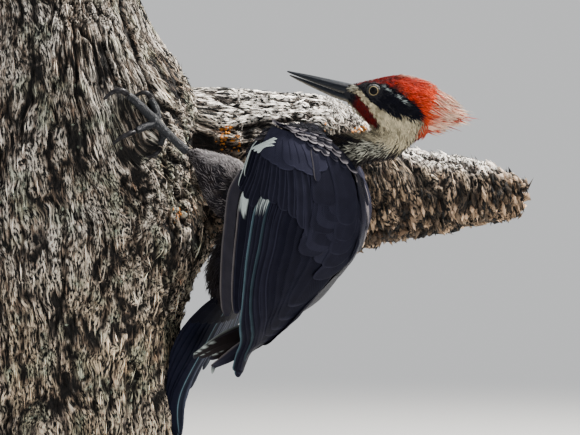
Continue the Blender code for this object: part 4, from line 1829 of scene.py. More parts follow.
@dataclass(frozen=True)
class Blade:
    """One large feather on a surface. Lengths are millimetres unless stated.

    Attributes:
        path: Places of the middle line from root to tip, across and along the surface.
        width: Full width.
        height: Height over the surface at root and tip.
        tilt: How much the leading edge stands above the trailing edge.
        shaft: Place of the shaft, from -1 at the leading edge to 1.
        round: Shape of the tip: 1.3 is pointed, 2.5 is blunt.
        tone: Colour of the vane.
        edge: Colour of the leading edge; where lighter, mostly a painted highlight.
        patch: A pale patch: from, to (shares of the length), from, to (across), or empty.
        narrow: Share of the width at the root.
        rib: How plain the shaft is, from 0 to 1.
        rib_tone: Colour of the shaft.
        worn_and_lit: Colour of the tip's fringe, partly wear and on many blades a painted highlight.
        fringe: Share of the length where the fringe begins.
        notches: White bars on the leading edge near the tip.
    """

    path: tuple[tuple[float, float], ...]
    width: float
    height: tuple[float, float]
    tilt: float
    shaft: float
    round: float
    tone: Array
    edge: Array
    patch: tuple[float, ...] = ()
    narrow: float = 0.55
    rib: float = 1.0
    rib_tone: Array = field(default_factory=lambda: Hue.SLATE * 3.0)
    worn_and_lit: Array = field(default_factory=lambda: Hue.SLATE * 1.8)
    fringe: float = 0.94
    notches: int = 0


class BladeSheet:
    """Lays blades on a surface and gathers them into one piece."""

    THICK = 0.22  # mm at the middle of a vane

    def __init__(self, surface: Surface, seed: int, rows: int = 44) -> None:
        """Starts an empty sheet on a surface.

        Args:
            surface: What the blades lie on.
            seed: The number for the random draws.
            rows: Rows of vertices along each blade.
        """
        self.surface = surface
        self.rows = rows
        self.blades: list[Blade] = []
        self.rng = np.random.default_rng(seed)

    def add(self, *values: object, **more: object) -> None:
        """Adds a blade with these fields on top of the others."""
        self.blades.append(Blade(*values, **more))

    def piece(self, name: str, material: bpy.types.Material, *nodes: str) -> None:
        """Makes the blades one piece, each with its own island on the bake map.

        Args:
            name: The piece's name.
            material: Its material.
            nodes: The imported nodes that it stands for, if any.
        """
        sheets = Sheets()
        columns = math.ceil(math.sqrt(len(self.blades) * 4))
        cells = np.array([columns, math.ceil(len(self.blades) / columns)])
        for number, blade in enumerate(self.blades):
            places, quads, tones, spots, ratio = self._lay(blade)
            seats = np.array([0.08, 0.03]) + np.array([0.84, 0.94]) * spots
            seats = np.array([number % columns, number // columns]) / cells + 1.0 / cells * seats
            vanes = spots * [1.0, ratio]
            sheets.add(places, quads, np.empty((0, 3), int), np.concatenate([tones, tones * 0.75]),
                       np.concatenate([vanes, vanes]), np.concatenate([seats, seats]))
        settled(sheets.piece(name, material), "plumage_black", *nodes)

    def _lay(self, blade: Blade) -> tuple[Array, Array, Array, Array, float]:
        """Lays one blade as a thin closed sheet with a raised shaft.

        Args:
            blade: The feather.

        Returns:
            Its places, upper side first, and faces, then for the upper side the colours and the
            places across and along the vane, and the vane's length over its width.
        """
        run = 1.0 - (1.0 - np.linspace(0, 1, self.rows)) ** 1.6
        path = through(blade.path, run * (len(blade.path) - 1))
        shaft = blade.shaft
        columns = np.sort([-1.0, -0.86, -0.6, shaft - 0.09, shaft - 0.03, shaft + 0.03,
                           shaft + 0.09, 0.1, 0.35, 0.62, 0.86, 1.0])
        body = ramp(run, 0.0, 0.25) * (1 - blade.narrow) + blade.narrow
        cut = np.clip((run - 0.72) / 0.28, 0, 1)
        half = blade.width / 2 * body * np.maximum((1 - cut**blade.round) ** 0.5, 0.03)
        frayed = 1 + self.rng.normal(0, 0.012, self.rows)
        frayed += 0.012 * np.sin(run * 55 + self.rng.uniform(0, 6))
        across = np.broadcast_to(columns, (self.rows, len(columns)))
        ragged = np.where(np.abs(across) > 0.95, frayed[:, None], 1.0)
        reach = half / np.maximum(self.surface.breadth(path[:, 1]), 4.0)
        sideways = path[:, 0:1] + across * ragged * reach[:, None]
        flat = sideways.ravel(), np.repeat(path[:, 1], len(columns))
        spots, normals = self.surface.place(*flat), self.surface.normal(*flat)
        level = mix(blade.height[0], blade.height[1], run)[:, None]
        arch = 0.16 * (1 - across**2) - blade.tilt * across * 0.5
        arch = arch * np.minimum(half[:, None] / 4.0, 1.0)
        stem = 0.30 * blade.rib * np.exp(-(((across - shaft) / 0.05) ** 2))
        height = (level + arch + stem * (1 - 0.7 * run[:, None])).reshape(-1, 1) * MM
        upper = spots + normals * height
        lower = upper - normals * (self.THICK * (1 - 0.65 * across**2)).reshape(-1, 1) * MM
        count = across.size
        grid = np.arange(count).reshape(across.shape)
        top = woven(grid)
        rim = np.concatenate([grid[0], grid[1:, -1], grid[-1, :-1][::-1], grid[1:-1, 0][::-1]])
        over = np.roll(rim, -1)
        wall = np.stack([rim, over, over + count, rim + count], -1)
        quads = np.concatenate([top, top[:, [0, 3, 2, 1]] + count, wall])
        corners = upper[top[:2 * len(columns)]]
        facing = np.cross(corners[:, 1] - corners[:, 0], corners[:, 2] - corners[:, 0])
        if np.sum(facing * normals[top[:2 * len(columns), 0]]) < 0:
            quads = quads[:, ::-1]
        middle = spots[len(columns) // 2::len(columns)]
        length = float(np.sum(np.linalg.norm(np.diff(middle, axis=0), axis=1)))
        places = np.stack([across.ravel() / 2 + 0.5, np.repeat(run, len(columns))], 1)
        tones = self._tones(blade, places[:, 1:], across.reshape(-1, 1))
        return np.concatenate([upper, lower]), quads, tones, places, length / MM / blade.width

    def _tones(self, blade: Blade, along: Array, over: Array) -> Array:
        """Colours over a blade: shaft, worn tip, leading edge and any pale patch.

        Args:
            blade: The feather.
            along: Share of the length at each vertex.
            over: Place across the vane, from -1 to 1, at each vertex.

        Returns:
            One colour for each vertex.
        """
        tone = np.broadcast_to(blade.tone, (len(along), 3)) * self.rng.uniform(0.9, 1.12)
        tone = mix(tone, blade.edge, ramp(-over, 0.80, 0.93) * 0.85)
        shaft = np.exp(-(((over - blade.shaft) / 0.05) ** 2)) * 0.6 * blade.rib
        tone = mix(tone, blade.rib_tone, shaft)
        tone = mix(tone, blade.worn_and_lit, ramp(along, blade.fringe, 1.0) * 0.8)
        if blade.patch:
            start, end, left, right = blade.patch
            inside = ramp(along, start - 0.02, start) * ramp(end - along, 0.0, 0.02)
            ragged = 0.05 * np.sin(over * 16) + 0.04 * np.sin(over * 37)
            inside *= ramp(end - along + ragged + 0.04 * (over - right), 0.0, 0.015)
            inside *= ramp(over, left - 0.05, left + 0.05) * ramp(right - over, -0.05, 0.05)
            tone = mix(tone, Hue.WHITE, inside)
        if blade.notches:
            bars = ramp(np.sin(along * 190.0 + over * 2.0), 0.0, 0.5) * ramp(along, 0.82, 0.84)
            bars = bars * ramp(0.82 + 0.033 * blade.notches - along, 0, 0.01)
            tone = mix(tone, Hue.WHITE, bars * ramp(-over, 0.25, 0.4))
        return tone


@dataclass
class FoldedWing:
    """A folded wing: flight feathers, greater and median coverts, alula and scapulars."""

    side: Side
    body: Axes
    finishes: Finishes
    # Flight feathers: leading edge across, tip across, tip along, width.
    primaries: tuple = (
        (0.00, 0.07, 6.72, 13.0), (0.14, 0.22, 6.50, 12.0), (0.25, 0.28, 6.30, 9.0),
        (0.28, 0.00, 10.30, 15.0), (0.31, 0.30, 10.1, 16.0), (0.345, 0.65, 9.75, 16.0),
        (0.385, 0.85, 9.3, 16.0), (0.43, 0.93, 8.9, 17.0), (0.48, 0.93, 8.4, 18.0),
    )
    secondaries: tuple = (
        (0.54, 0.96, 8.0, 24.0), (0.61, 0.96, 7.6, 27.0), (0.68, 0.96, 7.2, 30.0),
        (0.76, 0.95, 6.7, 31.0), (0.84, 0.94, 6.1, 30.0),
    )
    # Greater coverts: tip across, tip along, root across, root along, width.
    greater: tuple = (
        (0.14, 2.66, 0.19, 0.95, 9.0), (0.21, 2.80, 0.24, 0.85, 10.0), (0.28, 2.95, 0.29, 0.75, 10.0),
        (0.37, 2.52, 0.36, 0.7, 11.0), (0.45, 2.54, 0.43, 0.7, 12.0), (0.55, 2.66, 0.51, 0.7, 13.0),
        (0.65, 2.80, 0.59, 0.8, 14.0), (0.74, 3.10, 0.67, 0.8, 15.0), (0.82, 3.46, 0.75, 0.9, 15.0),
        (0.87, 3.30, 0.80, 1.0, 14.0),
    )

    def __post_init__(self) -> None:
        """Makes the surface that the feathers lie on."""
        self.surface = WingSurface(self.side, self.body)
        self.far = self.side is Side.RIGHT

    def _remiges(self) -> BladeSheet:
        """Primaries, secondaries and tertials, each over the one before it.

        Returns:
            Their sheet.
        """
        sheet = BladeSheet(self.surface, 101)
        for number, (lead, tip, end, width) in enumerate((*self.primaries, *self.secondaries)):
            outer = number < len(self.primaries)
            level, turn = -2.3 + 0.13 * number, 0.64 * end
            along = np.array([2.0, 0.5 * (2.0 + turn), turn, 0.5 * (turn + end), end])
            share = np.clip((along - turn) / (end - turn), 0, 1) ** 1.3
            reach = np.maximum(self.surface.breadth(along), 8.0)
            across = (lead + width / 2 / reach) * (1 - share) + tip * share
            tone = mix(Hue.BLACK, Hue.SLATE, 0.15 + 0.25 * (number % 3) / 2)
            edge = Hue.SLATE * (1.7 if outer else 1.1)
            patch: tuple[float, ...] = ()
            if outer and self.far:
                tone, edge = mix(Hue.BLACK, Hue.BROWN, 0.4), Hue.WHITE * 0.5
            # Leading edges with painted highlight and sheen: lit on the first two feathers, blue-grey
            # on the fourth and seventh; the first is lighter grey.
            elif number == 0:
                tone, edge = np.array([0.036, 0.034, 0.044]), Hue.LIT
            elif number in (1, 3, 6):
                edge = (Hue.LIT, Hue.SKY_BLUE, Hue.SKY_BLUE * 0.4)[number // 3]
            if number == 1:
                patch = (0.145, 0.335, -1.0, 0.4)
            elif number in (3, 4, 5):
                patch = (0.05, 0.185 - 0.008 * (number % 2), -1.0, 1.0)
            tilt, shaft, blunt, rib = (0.8, -0.45, 1.9, 0.8) if outer else (0.3, -0.2, 2.4, 0.15)
            sheet.add(tuple(zip(across, along)), width, (level, level + 0.3), tilt, shaft, blunt,
                      tone, edge, patch, rib=rib, notches=4 if outer and self.far else 0)
        # The far wing's extra feather: lighter, with a painted lit edge and a white fringe.
        if self.far:
            sheet.add(((0.62, 6.4), (0.74, 7.9), (0.85, 8.9), (0.92, 10.5)), 11.0, (-3.2, -3.2),
                      0.0, 0.0, 1.6, Hue.SLATE * 2.0, Hue.LIT, worn_and_lit=Hue.WHITE, fringe=0.86)
        return sheet

    def _coverts(self) -> BladeSheet:
        """Greater and median coverts, alula and scapulars.

        Returns:
            Their sheet.
        """
        sheet = BladeSheet(self.surface, 202)
        for number, (tip, end, root, start, width) in enumerate(self.greater):
            middle = (root * 0.45 + tip * 0.55, 0.5 * (start + end))
            sheet.add(((root, start), middle, (tip, end)), width, (-1.2, 0.1 + 0.06 * number),
                      0.7, -0.15, 2.3, mix(Hue.BLACK, Hue.SLATE, 0.40 + 0.09 * number),
                      Hue.SLATE * 2.4)
        for number in range(7):
            tip = 0.33 + 0.088 * number
            path = ((tip * 0.9 + 0.04, 0.25), (tip, 0.8), (tip, 1.34 + 0.07 * (number % 3)))
            sheet.add(path, 19.0, (-0.6, 0.9 + 0.07 * number), 0.22, 0.0, 2.6, Hue.SLATE * 2.0,
                      Hue.SLATE * 2.4, rib=0.12, worn_and_lit=Hue.SLATE * 3.4)
        for tip, end, width in ((0.12, 2.55, 6.0), (0.14, 2.1, 7.0)):
            sheet.add(((0.12, 0.95), (tip - 0.01, 0.5 * (0.95 + end)), (tip, end)), width,
                      (-0.8, 0.6), 0.5, 0.2, 1.7, Hue.BLACK, Hue.WHITE, (0.0, 1.1, -1.2, -0.72))
        for number in range(3):
            path = ((0.335, 0.66 + 0.11 * number), (0.23, 0.92 + 0.06 * number),
                    (0.10 + 0.05 * number, 1.27))
            sheet.add(path, 3.4, (0.9, 1.3 + 0.2 * number), 0.1, 0.0, 1.4, Hue.WHITE, Hue.WHITE,
                      narrow=1.0, rib=0.1, worn_and_lit=Hue.WHITE)
        for number in range(5):
            start = 0.5 + 0.55 * number
            path = ((1.14, start), (1.11, start + 1.1), (1.08 - 0.02 * number, start + 2.2))
            sheet.add(path, 20.0, (0.4, 1.6), 0.2, 0.0, 2.3, Hue.SLATE, Hue.SLATE * 1.9, rib=0.1)
        for number in range(10):
            start = 0.55 + 0.22 * number
            across = 0.93 + 0.05 * ((number * 3) % 4) - 0.06 * (number > 5)
            path = ((across + 0.02, start), (across - 0.02, start + 0.9),
                    (across - 0.05, start + 1.7))
            width, tone, edge = 25.0, Hue.SLATE * (1.05 + 0.25 * (number % 2)), Hue.SLATE * 1.7
            # The far wing's scapulars: black, with painted rim light on their edges.
            if self.far:
                width, tone, edge = 14.0, Hue.BLACK, Hue.LIT * 1.8
            sheet.add(path, width, (-0.2, 1.5 - 0.03 * number), 0.1, 0.0, 2.3, tone, edge,
                      rib=0.1, worn_and_lit=Hue.SLATE * 1.5)
        # One more covert, with a painted highlight on its edge.
        sheet.add(((0.85, 0.75), (0.84, 1.2), (0.825, 1.62)), 6.5, (0.6, 1.9), 0.3, 0.0, 1.8,
                  Hue.SLATE * 1.5, Hue.LIT * 0.6, rib=0.2)
        return sheet

    def _shoulder(self) -> BladeSheet:
        """The small scale-like feathers over the shoulder and the base of the neck.

        Returns:
            Their sheet.
        """
        sheet = BladeSheet(self.surface, 404, rows=12)
        rng = np.random.default_rng(405)
        pale = np.array([0.46, 0.42, 0.45])
        for row in range(9):
            for column in range(-3, 12):
                across = 0.42 + 0.085 * column + 0.04 * (row % 2) + rng.uniform(-0.012, 0.012)
                last = 0.22 + 1.35 * max(across - 0.5, 0.0)
                end = last - 0.145 * row + rng.uniform(-0.03, 0.03)
                if end < -0.25 or across > 1.30:
                    continue
                # Pale pinkish fringes and edges at random: painted sunlight on the scales.
                worn_and_lit = mix(Hue.SLATE * 1.6, pale, ramp(rng.uniform(), 0.2, 0.9))
                path = ((across + 0.01, end - 0.42), (across, end - 0.2),
                        (across + rng.uniform(-0.015, 0.015), end))
                width, rise = rng.uniform(4.2, 7.4), rng.uniform(-0.4, 0.5)
                tilt, blunt = rng.uniform(-0.5, 0.5), rng.uniform(1.5, 2.6)
                sheet.add(path, width, (0.2, 2.0 + 0.05 * row + rise), tilt, 0.0, blunt, Hue.BLACK,
                          worn_and_lit, rib=0.3, worn_and_lit=worn_and_lit, fringe=rng.uniform(0.52, 0.84))
        return sheet

    def build(self) -> None:
        """The three pieces of the wing."""
        quill, word = self.finishes.quill, self.side.word
        self._remiges().piece(f"remiges_{word}", quill, f"flight_{word}")
        self._coverts().piece(f"coverts_{word}", quill)
        self._shoulder().piece(f"shoulder_{word}", quill)


@dataclass
class Tail:
    """The stiff pointed tail feathers, propped on the wood."""

    body: Axes
    finishes: Finishes
    # Across, tip across, tip along, width: outer ones lowest, middle pair on top.
    feathers: tuple = (
        (-0.20, -0.42, 2.4, 16.0), (-0.10, -0.25, 2.8, 16.0), (0.0, -0.08, 3.2, 16.0),
        (0.92, 0.98, 3.4, 14.0), (0.08, 0.12, 3.5, 15.0), (0.86, 0.95, 4.2, 15.0),
        (0.20, 0.42, 4.1, 16.0), (0.78, 0.96, 4.9, 15.0), (0.32, 0.62, 4.7, 16.0),
        (0.70, 0.96, 5.5, 15.0), (0.44, 0.74, 5.3, 16.0), (0.60, 0.94, 6.1, 16.0),
        (0.52, 0.84, 5.85, 16.0),
    )

    def build(self) -> None:
        """The tail as one piece."""
        sheet = BladeSheet(TailSurface(self.body), 303)
        for number, (root, tip, end, width) in enumerate(self.feathers):
            level = -3.0 + 0.30 * number
            path = ((root * 0.7 + 0.15, 0.0), (root, 0.45 * end), (tip, 0.8 * end), (tip, end))
            # Blue-grey edges and shafts are painted sheen.
            sheet.add(path, width, (level, level + 0.3), 0.0, 0.0, 1.25,
                      np.array([0.0085, 0.0095, 0.020]), np.array([0.085, 0.100, 0.150]),
                      rib_tone=Hue.SKY_BLUE * (1.9 if number > 8 else 0.8))
        for number in range(14):
            across, layer = (0.05, 0.95, 0.2, 0.8, 0.35, 0.65, 0.5)[number % 7], number // 7
            start = 0.7 - 0.9 * layer
            path = ((across, start - 1.2), (across, start), (across * 1.1 - 0.05, start + 1.1))
            sheet.add(path, 15.0, (0.2, 1.0 + 0.5 * layer), 0.0, 0.0, 1.9, Hue.BLACK * 0.8,
                      Hue.BLACK, rib=0.2, worn_and_lit=Hue.BLACK)
        sheet.piece("rectrices", self.finishes.quill, "tail")


# ---- Horn and eyes ---------------------------------------------------------------------------


def tube(rows: int, turns: int, start: int, end: int) -> list[list[int]]:
    """The faces of a closed tube of rings.

    Args:
        rows: The number of rings.
        turns: The vertices in each.
        start: The number of the vertex that closes the first ring.
        end: The number of the vertex that closes the last ring.

    Returns:
        Quads for the side, then triangles for both ends.
    """
    grid = np.pad(np.arange(rows * turns).reshape(rows, turns), ((0, 0), (0, 1)), mode="wrap")
    faces = woven(grid)[:, [0, 3, 2, 1]].tolist()
    for j in range(turns):
        first, last = grid[0], grid[-1]
        faces += [[int(first[j + 1]), int(first[j]), start], [int(last[j]), int(last[j + 1]), end]]
    return faces


def plain_piece(
    name: str, slot: str, node: str, places: Array, faces: list[list[int]], tints: Array,
    material: bpy.types.Material, vanes: Array | None = None,
) -> None:
    """Makes a smooth closed piece that stands for a node, with its faces turned outwards.

    Args:
        name: The piece's name.
        slot: The slot's name.
        node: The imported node.
        places: Vertex places.
        faces: Vertex numbers of each face.
        tints: One colour for each vertex.
        material: Its material.
        vanes: A place for each vertex on the Vane map, if it has one.
    """
    mesh = bpy.data.meshes.new(name)
    mesh.from_pydata(places.tolist(), [], faces)
    turned = bmesh.new()
    turned.from_mesh(mesh)
    bmesh.ops.recalc_face_normals(turned, faces=turned.faces)
    turned.to_mesh(mesh)
    turned.free()
    paint(mesh, tints)
    if vanes is not None:
        mapped(mesh, "Vane", vanes)
    dressed(mesh, material)
    settled(linked(name, mesh), slot, node)


@dataclass
class Bill:
    """The chisel bill: each half a lofted horn with its ridge, grooves and cutting edge."""

    head: Axes
    finishes: Finishes
    # Both halves: forward, top, bottom, half width.
    upper: tuple = (
        (22, 8.2, -1.0, 6.0), (30, 8.3, -1.2, 6.3), (44, 7.6, -1.0, 6.0), (56, 6.8, -0.1, 5.0),
        (70, 5.9, 1.1, 3.6), (82, 4.9, 2.2, 2.2), (88.5, 4.35, 3.1, 1.2),
    )
    lower: tuple = (
        (22, -1.1, -7.2, 5.2), (30, -1.3, -7.5, 5.6), (44, -1.1, -6.8, 5.7),
        (56, -0.25, -5.1, 4.5), (68, 0.75, -3.1, 3.3), (78, 1.35, -1.2, 2.1),
        (85.5, 1.6, 0.45, 1.0),
    )
    rows: int = 70
    turns: int = 48

    def _half(self, name: str, stations: tuple, crown: int) -> None:
        """Builds the half that stands for a node, with crown 1 for a ridge on top, -1 below.

        Args:
            name: The node's name.
            stations: Forward, top, bottom and half width, from base to tip.
            crown: 1 for a ridge on top, -1 below.
        """
        row = through(stations, np.linspace(0, len(stations) - 1, self.rows))
        angle = np.linspace(0, 2 * np.pi, self.turns, endpoint=False)
        middle, half = (row[:, 1:2] + row[:, 2:3]) / 2, (row[:, 1:2] - row[:, 2:3]) / 2
        sine, cosine = np.sin(angle)[None], np.cos(angle)[None]
        rise = np.sign(sine) * np.abs(sine) ** 0.92
        meeting = np.clip(-rise * crown, 0, 1)
        side = np.sign(cosine) * np.abs(cosine) ** (1.0 - 0.65 * ramp(meeting, 0.0, 0.6))
        ridged = np.clip(rise * crown, 0, 1)
        flank = np.exp(-(((rise * crown - 0.42) / 0.16) ** 2))
        groove = np.exp(-(((rise * crown - 0.62) / 0.12) ** 2))
        share = np.linspace(0, 1, self.rows)[:, None]
        width = row[:, 3:4] * (1 - 0.34 * ridged**1.3 + 0.07 * flank - 0.07 * groove * (1 - share))
        up = middle + rise * half * (1 + 0.05 * ridged**6)
        forward = np.repeat(row[:, 0:1], self.turns, 1)
        local = np.stack([forward, side * width, up], -1).reshape(-1, 3)
        tip, back = ([stations[end][0] + reach, 0, float(middle[end, 0])]
                     for end, reach in ((-1, 0.9), (0, -0.5)))
        places = self.head.world(np.concatenate([local, [tip, back]]))
        slate, count = np.array([0.010, 0.0125, 0.018]), len(local)
        low = np.broadcast_to(rise, up.shape).reshape(-1, 1)
        if crown > 0:
            # Painted highlight along the top of the ridge, strongest at the base.
            light = np.repeat(ramp(1 - share, 0.2, 1.0), self.turns, 1).reshape(-1, 1)
            tint = mix(slate, np.array([0.26, 0.29, 0.31]), ramp(low, 0.72, 1.0) * 0.35 * light)
            edge = ramp(-low, 0.55, 0.9) * 0.35
        else:
            tint = np.tile(slate * 0.9, (count, 1))
            edge = ramp(-low, 0.1, 0.75) * 0.95
        tint = mix(tint, np.array([0.30, 0.27, 0.22]), edge)
        tint = np.concatenate([tint, tint[count - self.turns:][:1], tint[:1]])
        faces = tube(self.rows, self.turns, count + 1, count)
        plain_piece(name + "_horn", "bill_horn", name, places, faces, tint, self.finishes.bill)

    def build(self) -> None:
        """Both halves."""
        self._half("bill_upper", self.upper, 1)
        self._half("bill_lower", self.lower, -1)


@dataclass
class Eyes:
    """The eyeballs: a pale iris and a black pupil under a clear bulge."""

    head: Axes
    finishes: Finishes
    iris: float = 3.9
    pupil: float = 3.42
    rows: int = 46
    turns: int = 64

    def build(self) -> None:
        """Both eyes."""
        for side in Side:
            centre = self.head.world([EYE_FORWARD, EYE_SIDE * side.value, EYE_UP])
            wide, out, high = (self.head.turn(way) for way in np.diag([1.0, side.value, 1.0]))
            p, r = np.meshgrid(np.linspace(0, np.pi, self.rows + 2)[1:-1],
                               np.linspace(0, 2 * np.pi, self.turns, endpoint=False), indexing="ij")
            plain = (EYE_RADIUS - 0.25) * MM
            radius = plain * (1 + 0.035 * np.exp(-((p / 0.5) ** 2)))
            ball = (centre + (radius * np.cos(p))[..., None] * out
                    + (radius * np.sin(p) * np.cos(r))[..., None] * wide
                    + (radius * np.sin(p) * np.sin(r))[..., None] * high).reshape(-1, 3)
            places = np.concatenate([ball, [centre + out * plain * 1.035, centre - out * plain]])
            off = np.linalg.norm(np.cross(places - centre, out), axis=1) / MM
            off = np.where((places - centre) @ out > 0, off, 9.0)
            pale = mix(np.array([0.46, 0.40, 0.25]), np.array([0.38, 0.26, 0.12]),
                       ramp(off, 3.3, 4.0)[:, None])
            tint = mix(np.array([0.004, 0.004, 0.004]), pale,
                       ramp(off, self.pupil - 0.12, self.pupil + 0.12)[:, None])
            tint = mix(tint, np.array([0.01, 0.01, 0.01]),
                       ramp(off, self.iris - 0.1, self.iris + 0.15)[:, None])
            angle = np.concatenate([r.ravel(), [0, 0]])
            vanes = np.stack([angle / (2 * np.pi), off / 40.0], 1)
            faces = tube(self.rows, self.turns, len(ball), len(ball) + 1)
            plain_piece(f"eyeball_{side.word}", "eye_gloss", f"eye_{side.word}", places, faces,
                        tint, self.finishes.eye, vanes)


@dataclass
class Claws:
    """The hooked claws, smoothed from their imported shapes."""

    nodes: dict[str, bpy.types.Object]
    finishes: Finishes

    def build(self) -> None:
        """One piece for each foot."""
        for side in Side:
            names = [f"claw_{toe}_{side.word}" for toe in TOES]
            mesh = fused([closed(self.nodes[name], 0.95 * MM) for name in names])
            made = modified(mesh, "SUBSURF", levels=2, render_levels=2)
            places, _, _ = arrays(made)
            paint(made, mix(np.array([0.006, 0.005, 0.006]), np.array([0.035, 0.033, 0.038]),
                            ramp(noise(places, 2.5 * MM, 61), -0.4, 0.9)[:, None]))
            dressed(made, self.finishes.claw)
            settled(linked(f"claws_{side.word}", made), "claw_horn", *names)


# ---- Perch and stand -------------------------------------------------------------------------


@cache
def strewing() -> bpy.types.NodeTree:
    """The node tree that strews slivers along the grain of a surface.

    Returns:
        A geometry tree with the inputs Share, Tone, Density, Least, Most, Darkest, Lightest,
        Seed and Finish.
    """
    group = bpy.data.node_groups.new("Strewn slivers", "GeometryNodeTree")
    kinds = {"Geometry": "Geometry", "Share": "String", "Tone": "String", "Density": "Float",
             "Least": "Vector", "Most": "Vector", "Darkest": "Float", "Lightest": "Float",
             "Seed": "Int", "Finish": "Material"}
    for title, kind in kinds.items():
        group.interface.new_socket(title, in_out="INPUT", socket_type=f"NodeSocket{kind}")
    group.interface.new_socket("Geometry", in_out="OUTPUT", socket_type="NodeSocketGeometry")
    given = group.nodes.new("NodeGroupInput").outputs

    def node(kind: str, feeds: dict, **settings: str) -> bpy.types.NodeOutputs:
        """The outputs of a new node."""
        return fill(group, kind, feeds, **settings).outputs

    named = "GeometryNodeInputNamedAttribute"
    share = node(named, {"Name": given["Share"]}, data_type="FLOAT")[0]
    lie = node(named, {"Name": "lie"}, data_type="FLOAT_VECTOR")[0]
    tone = node(named, {"Name": given["Tone"]}, data_type="FLOAT_COLOR")[0]
    thick = node("ShaderNodeMath", {0: share, 1: given["Density"]}, operation="MULTIPLY")[0]
    spots = node("GeometryNodeDistributePointsOnFaces",
                 {"Mesh": given["Geometry"], "Density": thick, "Seed": given["Seed"]})
    turned = node("FunctionNodeAlignRotationToVector",
                  {"Rotation": spots["Rotation"], "Vector": lie}, axis="X", pivot_axis="Z")[0]
    sizes = node("FunctionNodeRandomValue",
                 {0: given["Least"], 1: given["Most"], "Seed": given["Seed"]},
                 data_type="FLOAT_VECTOR")[0]
    shade = node("FunctionNodeRandomValue", {2: given["Darkest"], 3: given["Lightest"]},
                 data_type="FLOAT")[1]
    shaded = node("ShaderNodeMix", {0: 1.0, 6: tone, 7: shade},
                  data_type="RGBA", blend_type="MULTIPLY")[2]
    toned = node("GeometryNodeStoreNamedAttribute",
                 {"Geometry": spots["Points"], "Name": "tint", "Value": shaded},
                 data_type="FLOAT_COLOR", domain="POINT")[0]
    sliver = node("GeometryNodeMeshUVSphere", {"Segments": 4, "Rings": 2, "Radius": 1.0})[0]
    laid = node("GeometryNodeInstanceOnPoints",
                {"Points": toned, "Instance": sliver, "Rotation": turned, "Scale": sizes})[0]
    real = node("GeometryNodeRealizeInstances", {"Geometry": laid})[0]
    soft = node("GeometryNodeSetShadeSmooth", {0: real})[0]
    done = node("GeometryNodeSetMaterial", {"Geometry": soft, "Material": given["Finish"]})[0]
    group.links.new(done, group.nodes.new("NodeGroupOutput").inputs[0])
    return group


@dataclass(frozen=True)
class Strewn:
    """Small solid pieces strewn over the wood by Geometry Nodes. Sizes are metres.

    Attributes:
        name: The piece's name.
        share: The vertex attribute that thins them out.
        tone: The colour attribute that they take their colour from.
        density: Most pieces in a square metre.
        least: Smallest half sizes: along the grain, across it, and in height.
        most: Largest half sizes.
        shades: Least and most brightness against the wood's own.
        seed: The number for the random draws.
    """

    name: str
    share: str
    tone: str
    density: float
    least: tuple[float, float, float]
    most: tuple[float, float, float]
    shades: tuple[float, float]
    seed: int

    def build(self, woods: Sequence[bpy.types.Object], material: bpy.types.Material) -> None:
        """Strews the pieces over lengths of wood and joins them in one.

        Args:
            woods: The lengths of wood.
            material: The pieces' material.
        """
        values = {
            "Share": self.share, "Tone": self.tone, "Density": self.density,
            "Least": self.least, "Most": self.most, "Darkest": self.shades[0],
            "Lightest": self.shades[1], "Seed": self.seed, "Finish": material,
        }
        inputs = {item.identifier: values[item.name] for item in strewing().interface.items_tree
                  if item.name in values}
        mesh = fused([modified(wood.data, "NODES", inputs, node_group=strewing())
                      for wood in woods])
        dressed(mesh, material)
        settled(linked(self.name, mesh), "snag_bark")


class Cut(Enum):
    """The lengths that the snag's surface is built in: keep box from, to, and voxel in mm."""

    LOWER = ((-0.3, -0.3, -0.1), (0.135, 0.0, 0.214), 1.28)
    MIDDLE = ((-0.3, -0.3, 0.210), (0.135, 0.0, 0.340), 1.28)
    UPPER = ((-0.3, -0.3, 0.336), (0.135, 0.0, 0.6), 1.28)
    REAR = ((-0.3, -0.003, -0.1), (0.135, 0.3, 0.6), 2.6)
    STUB = ((0.131, -0.3, -0.1), (0.6, 0.3, 0.6), 1.2)


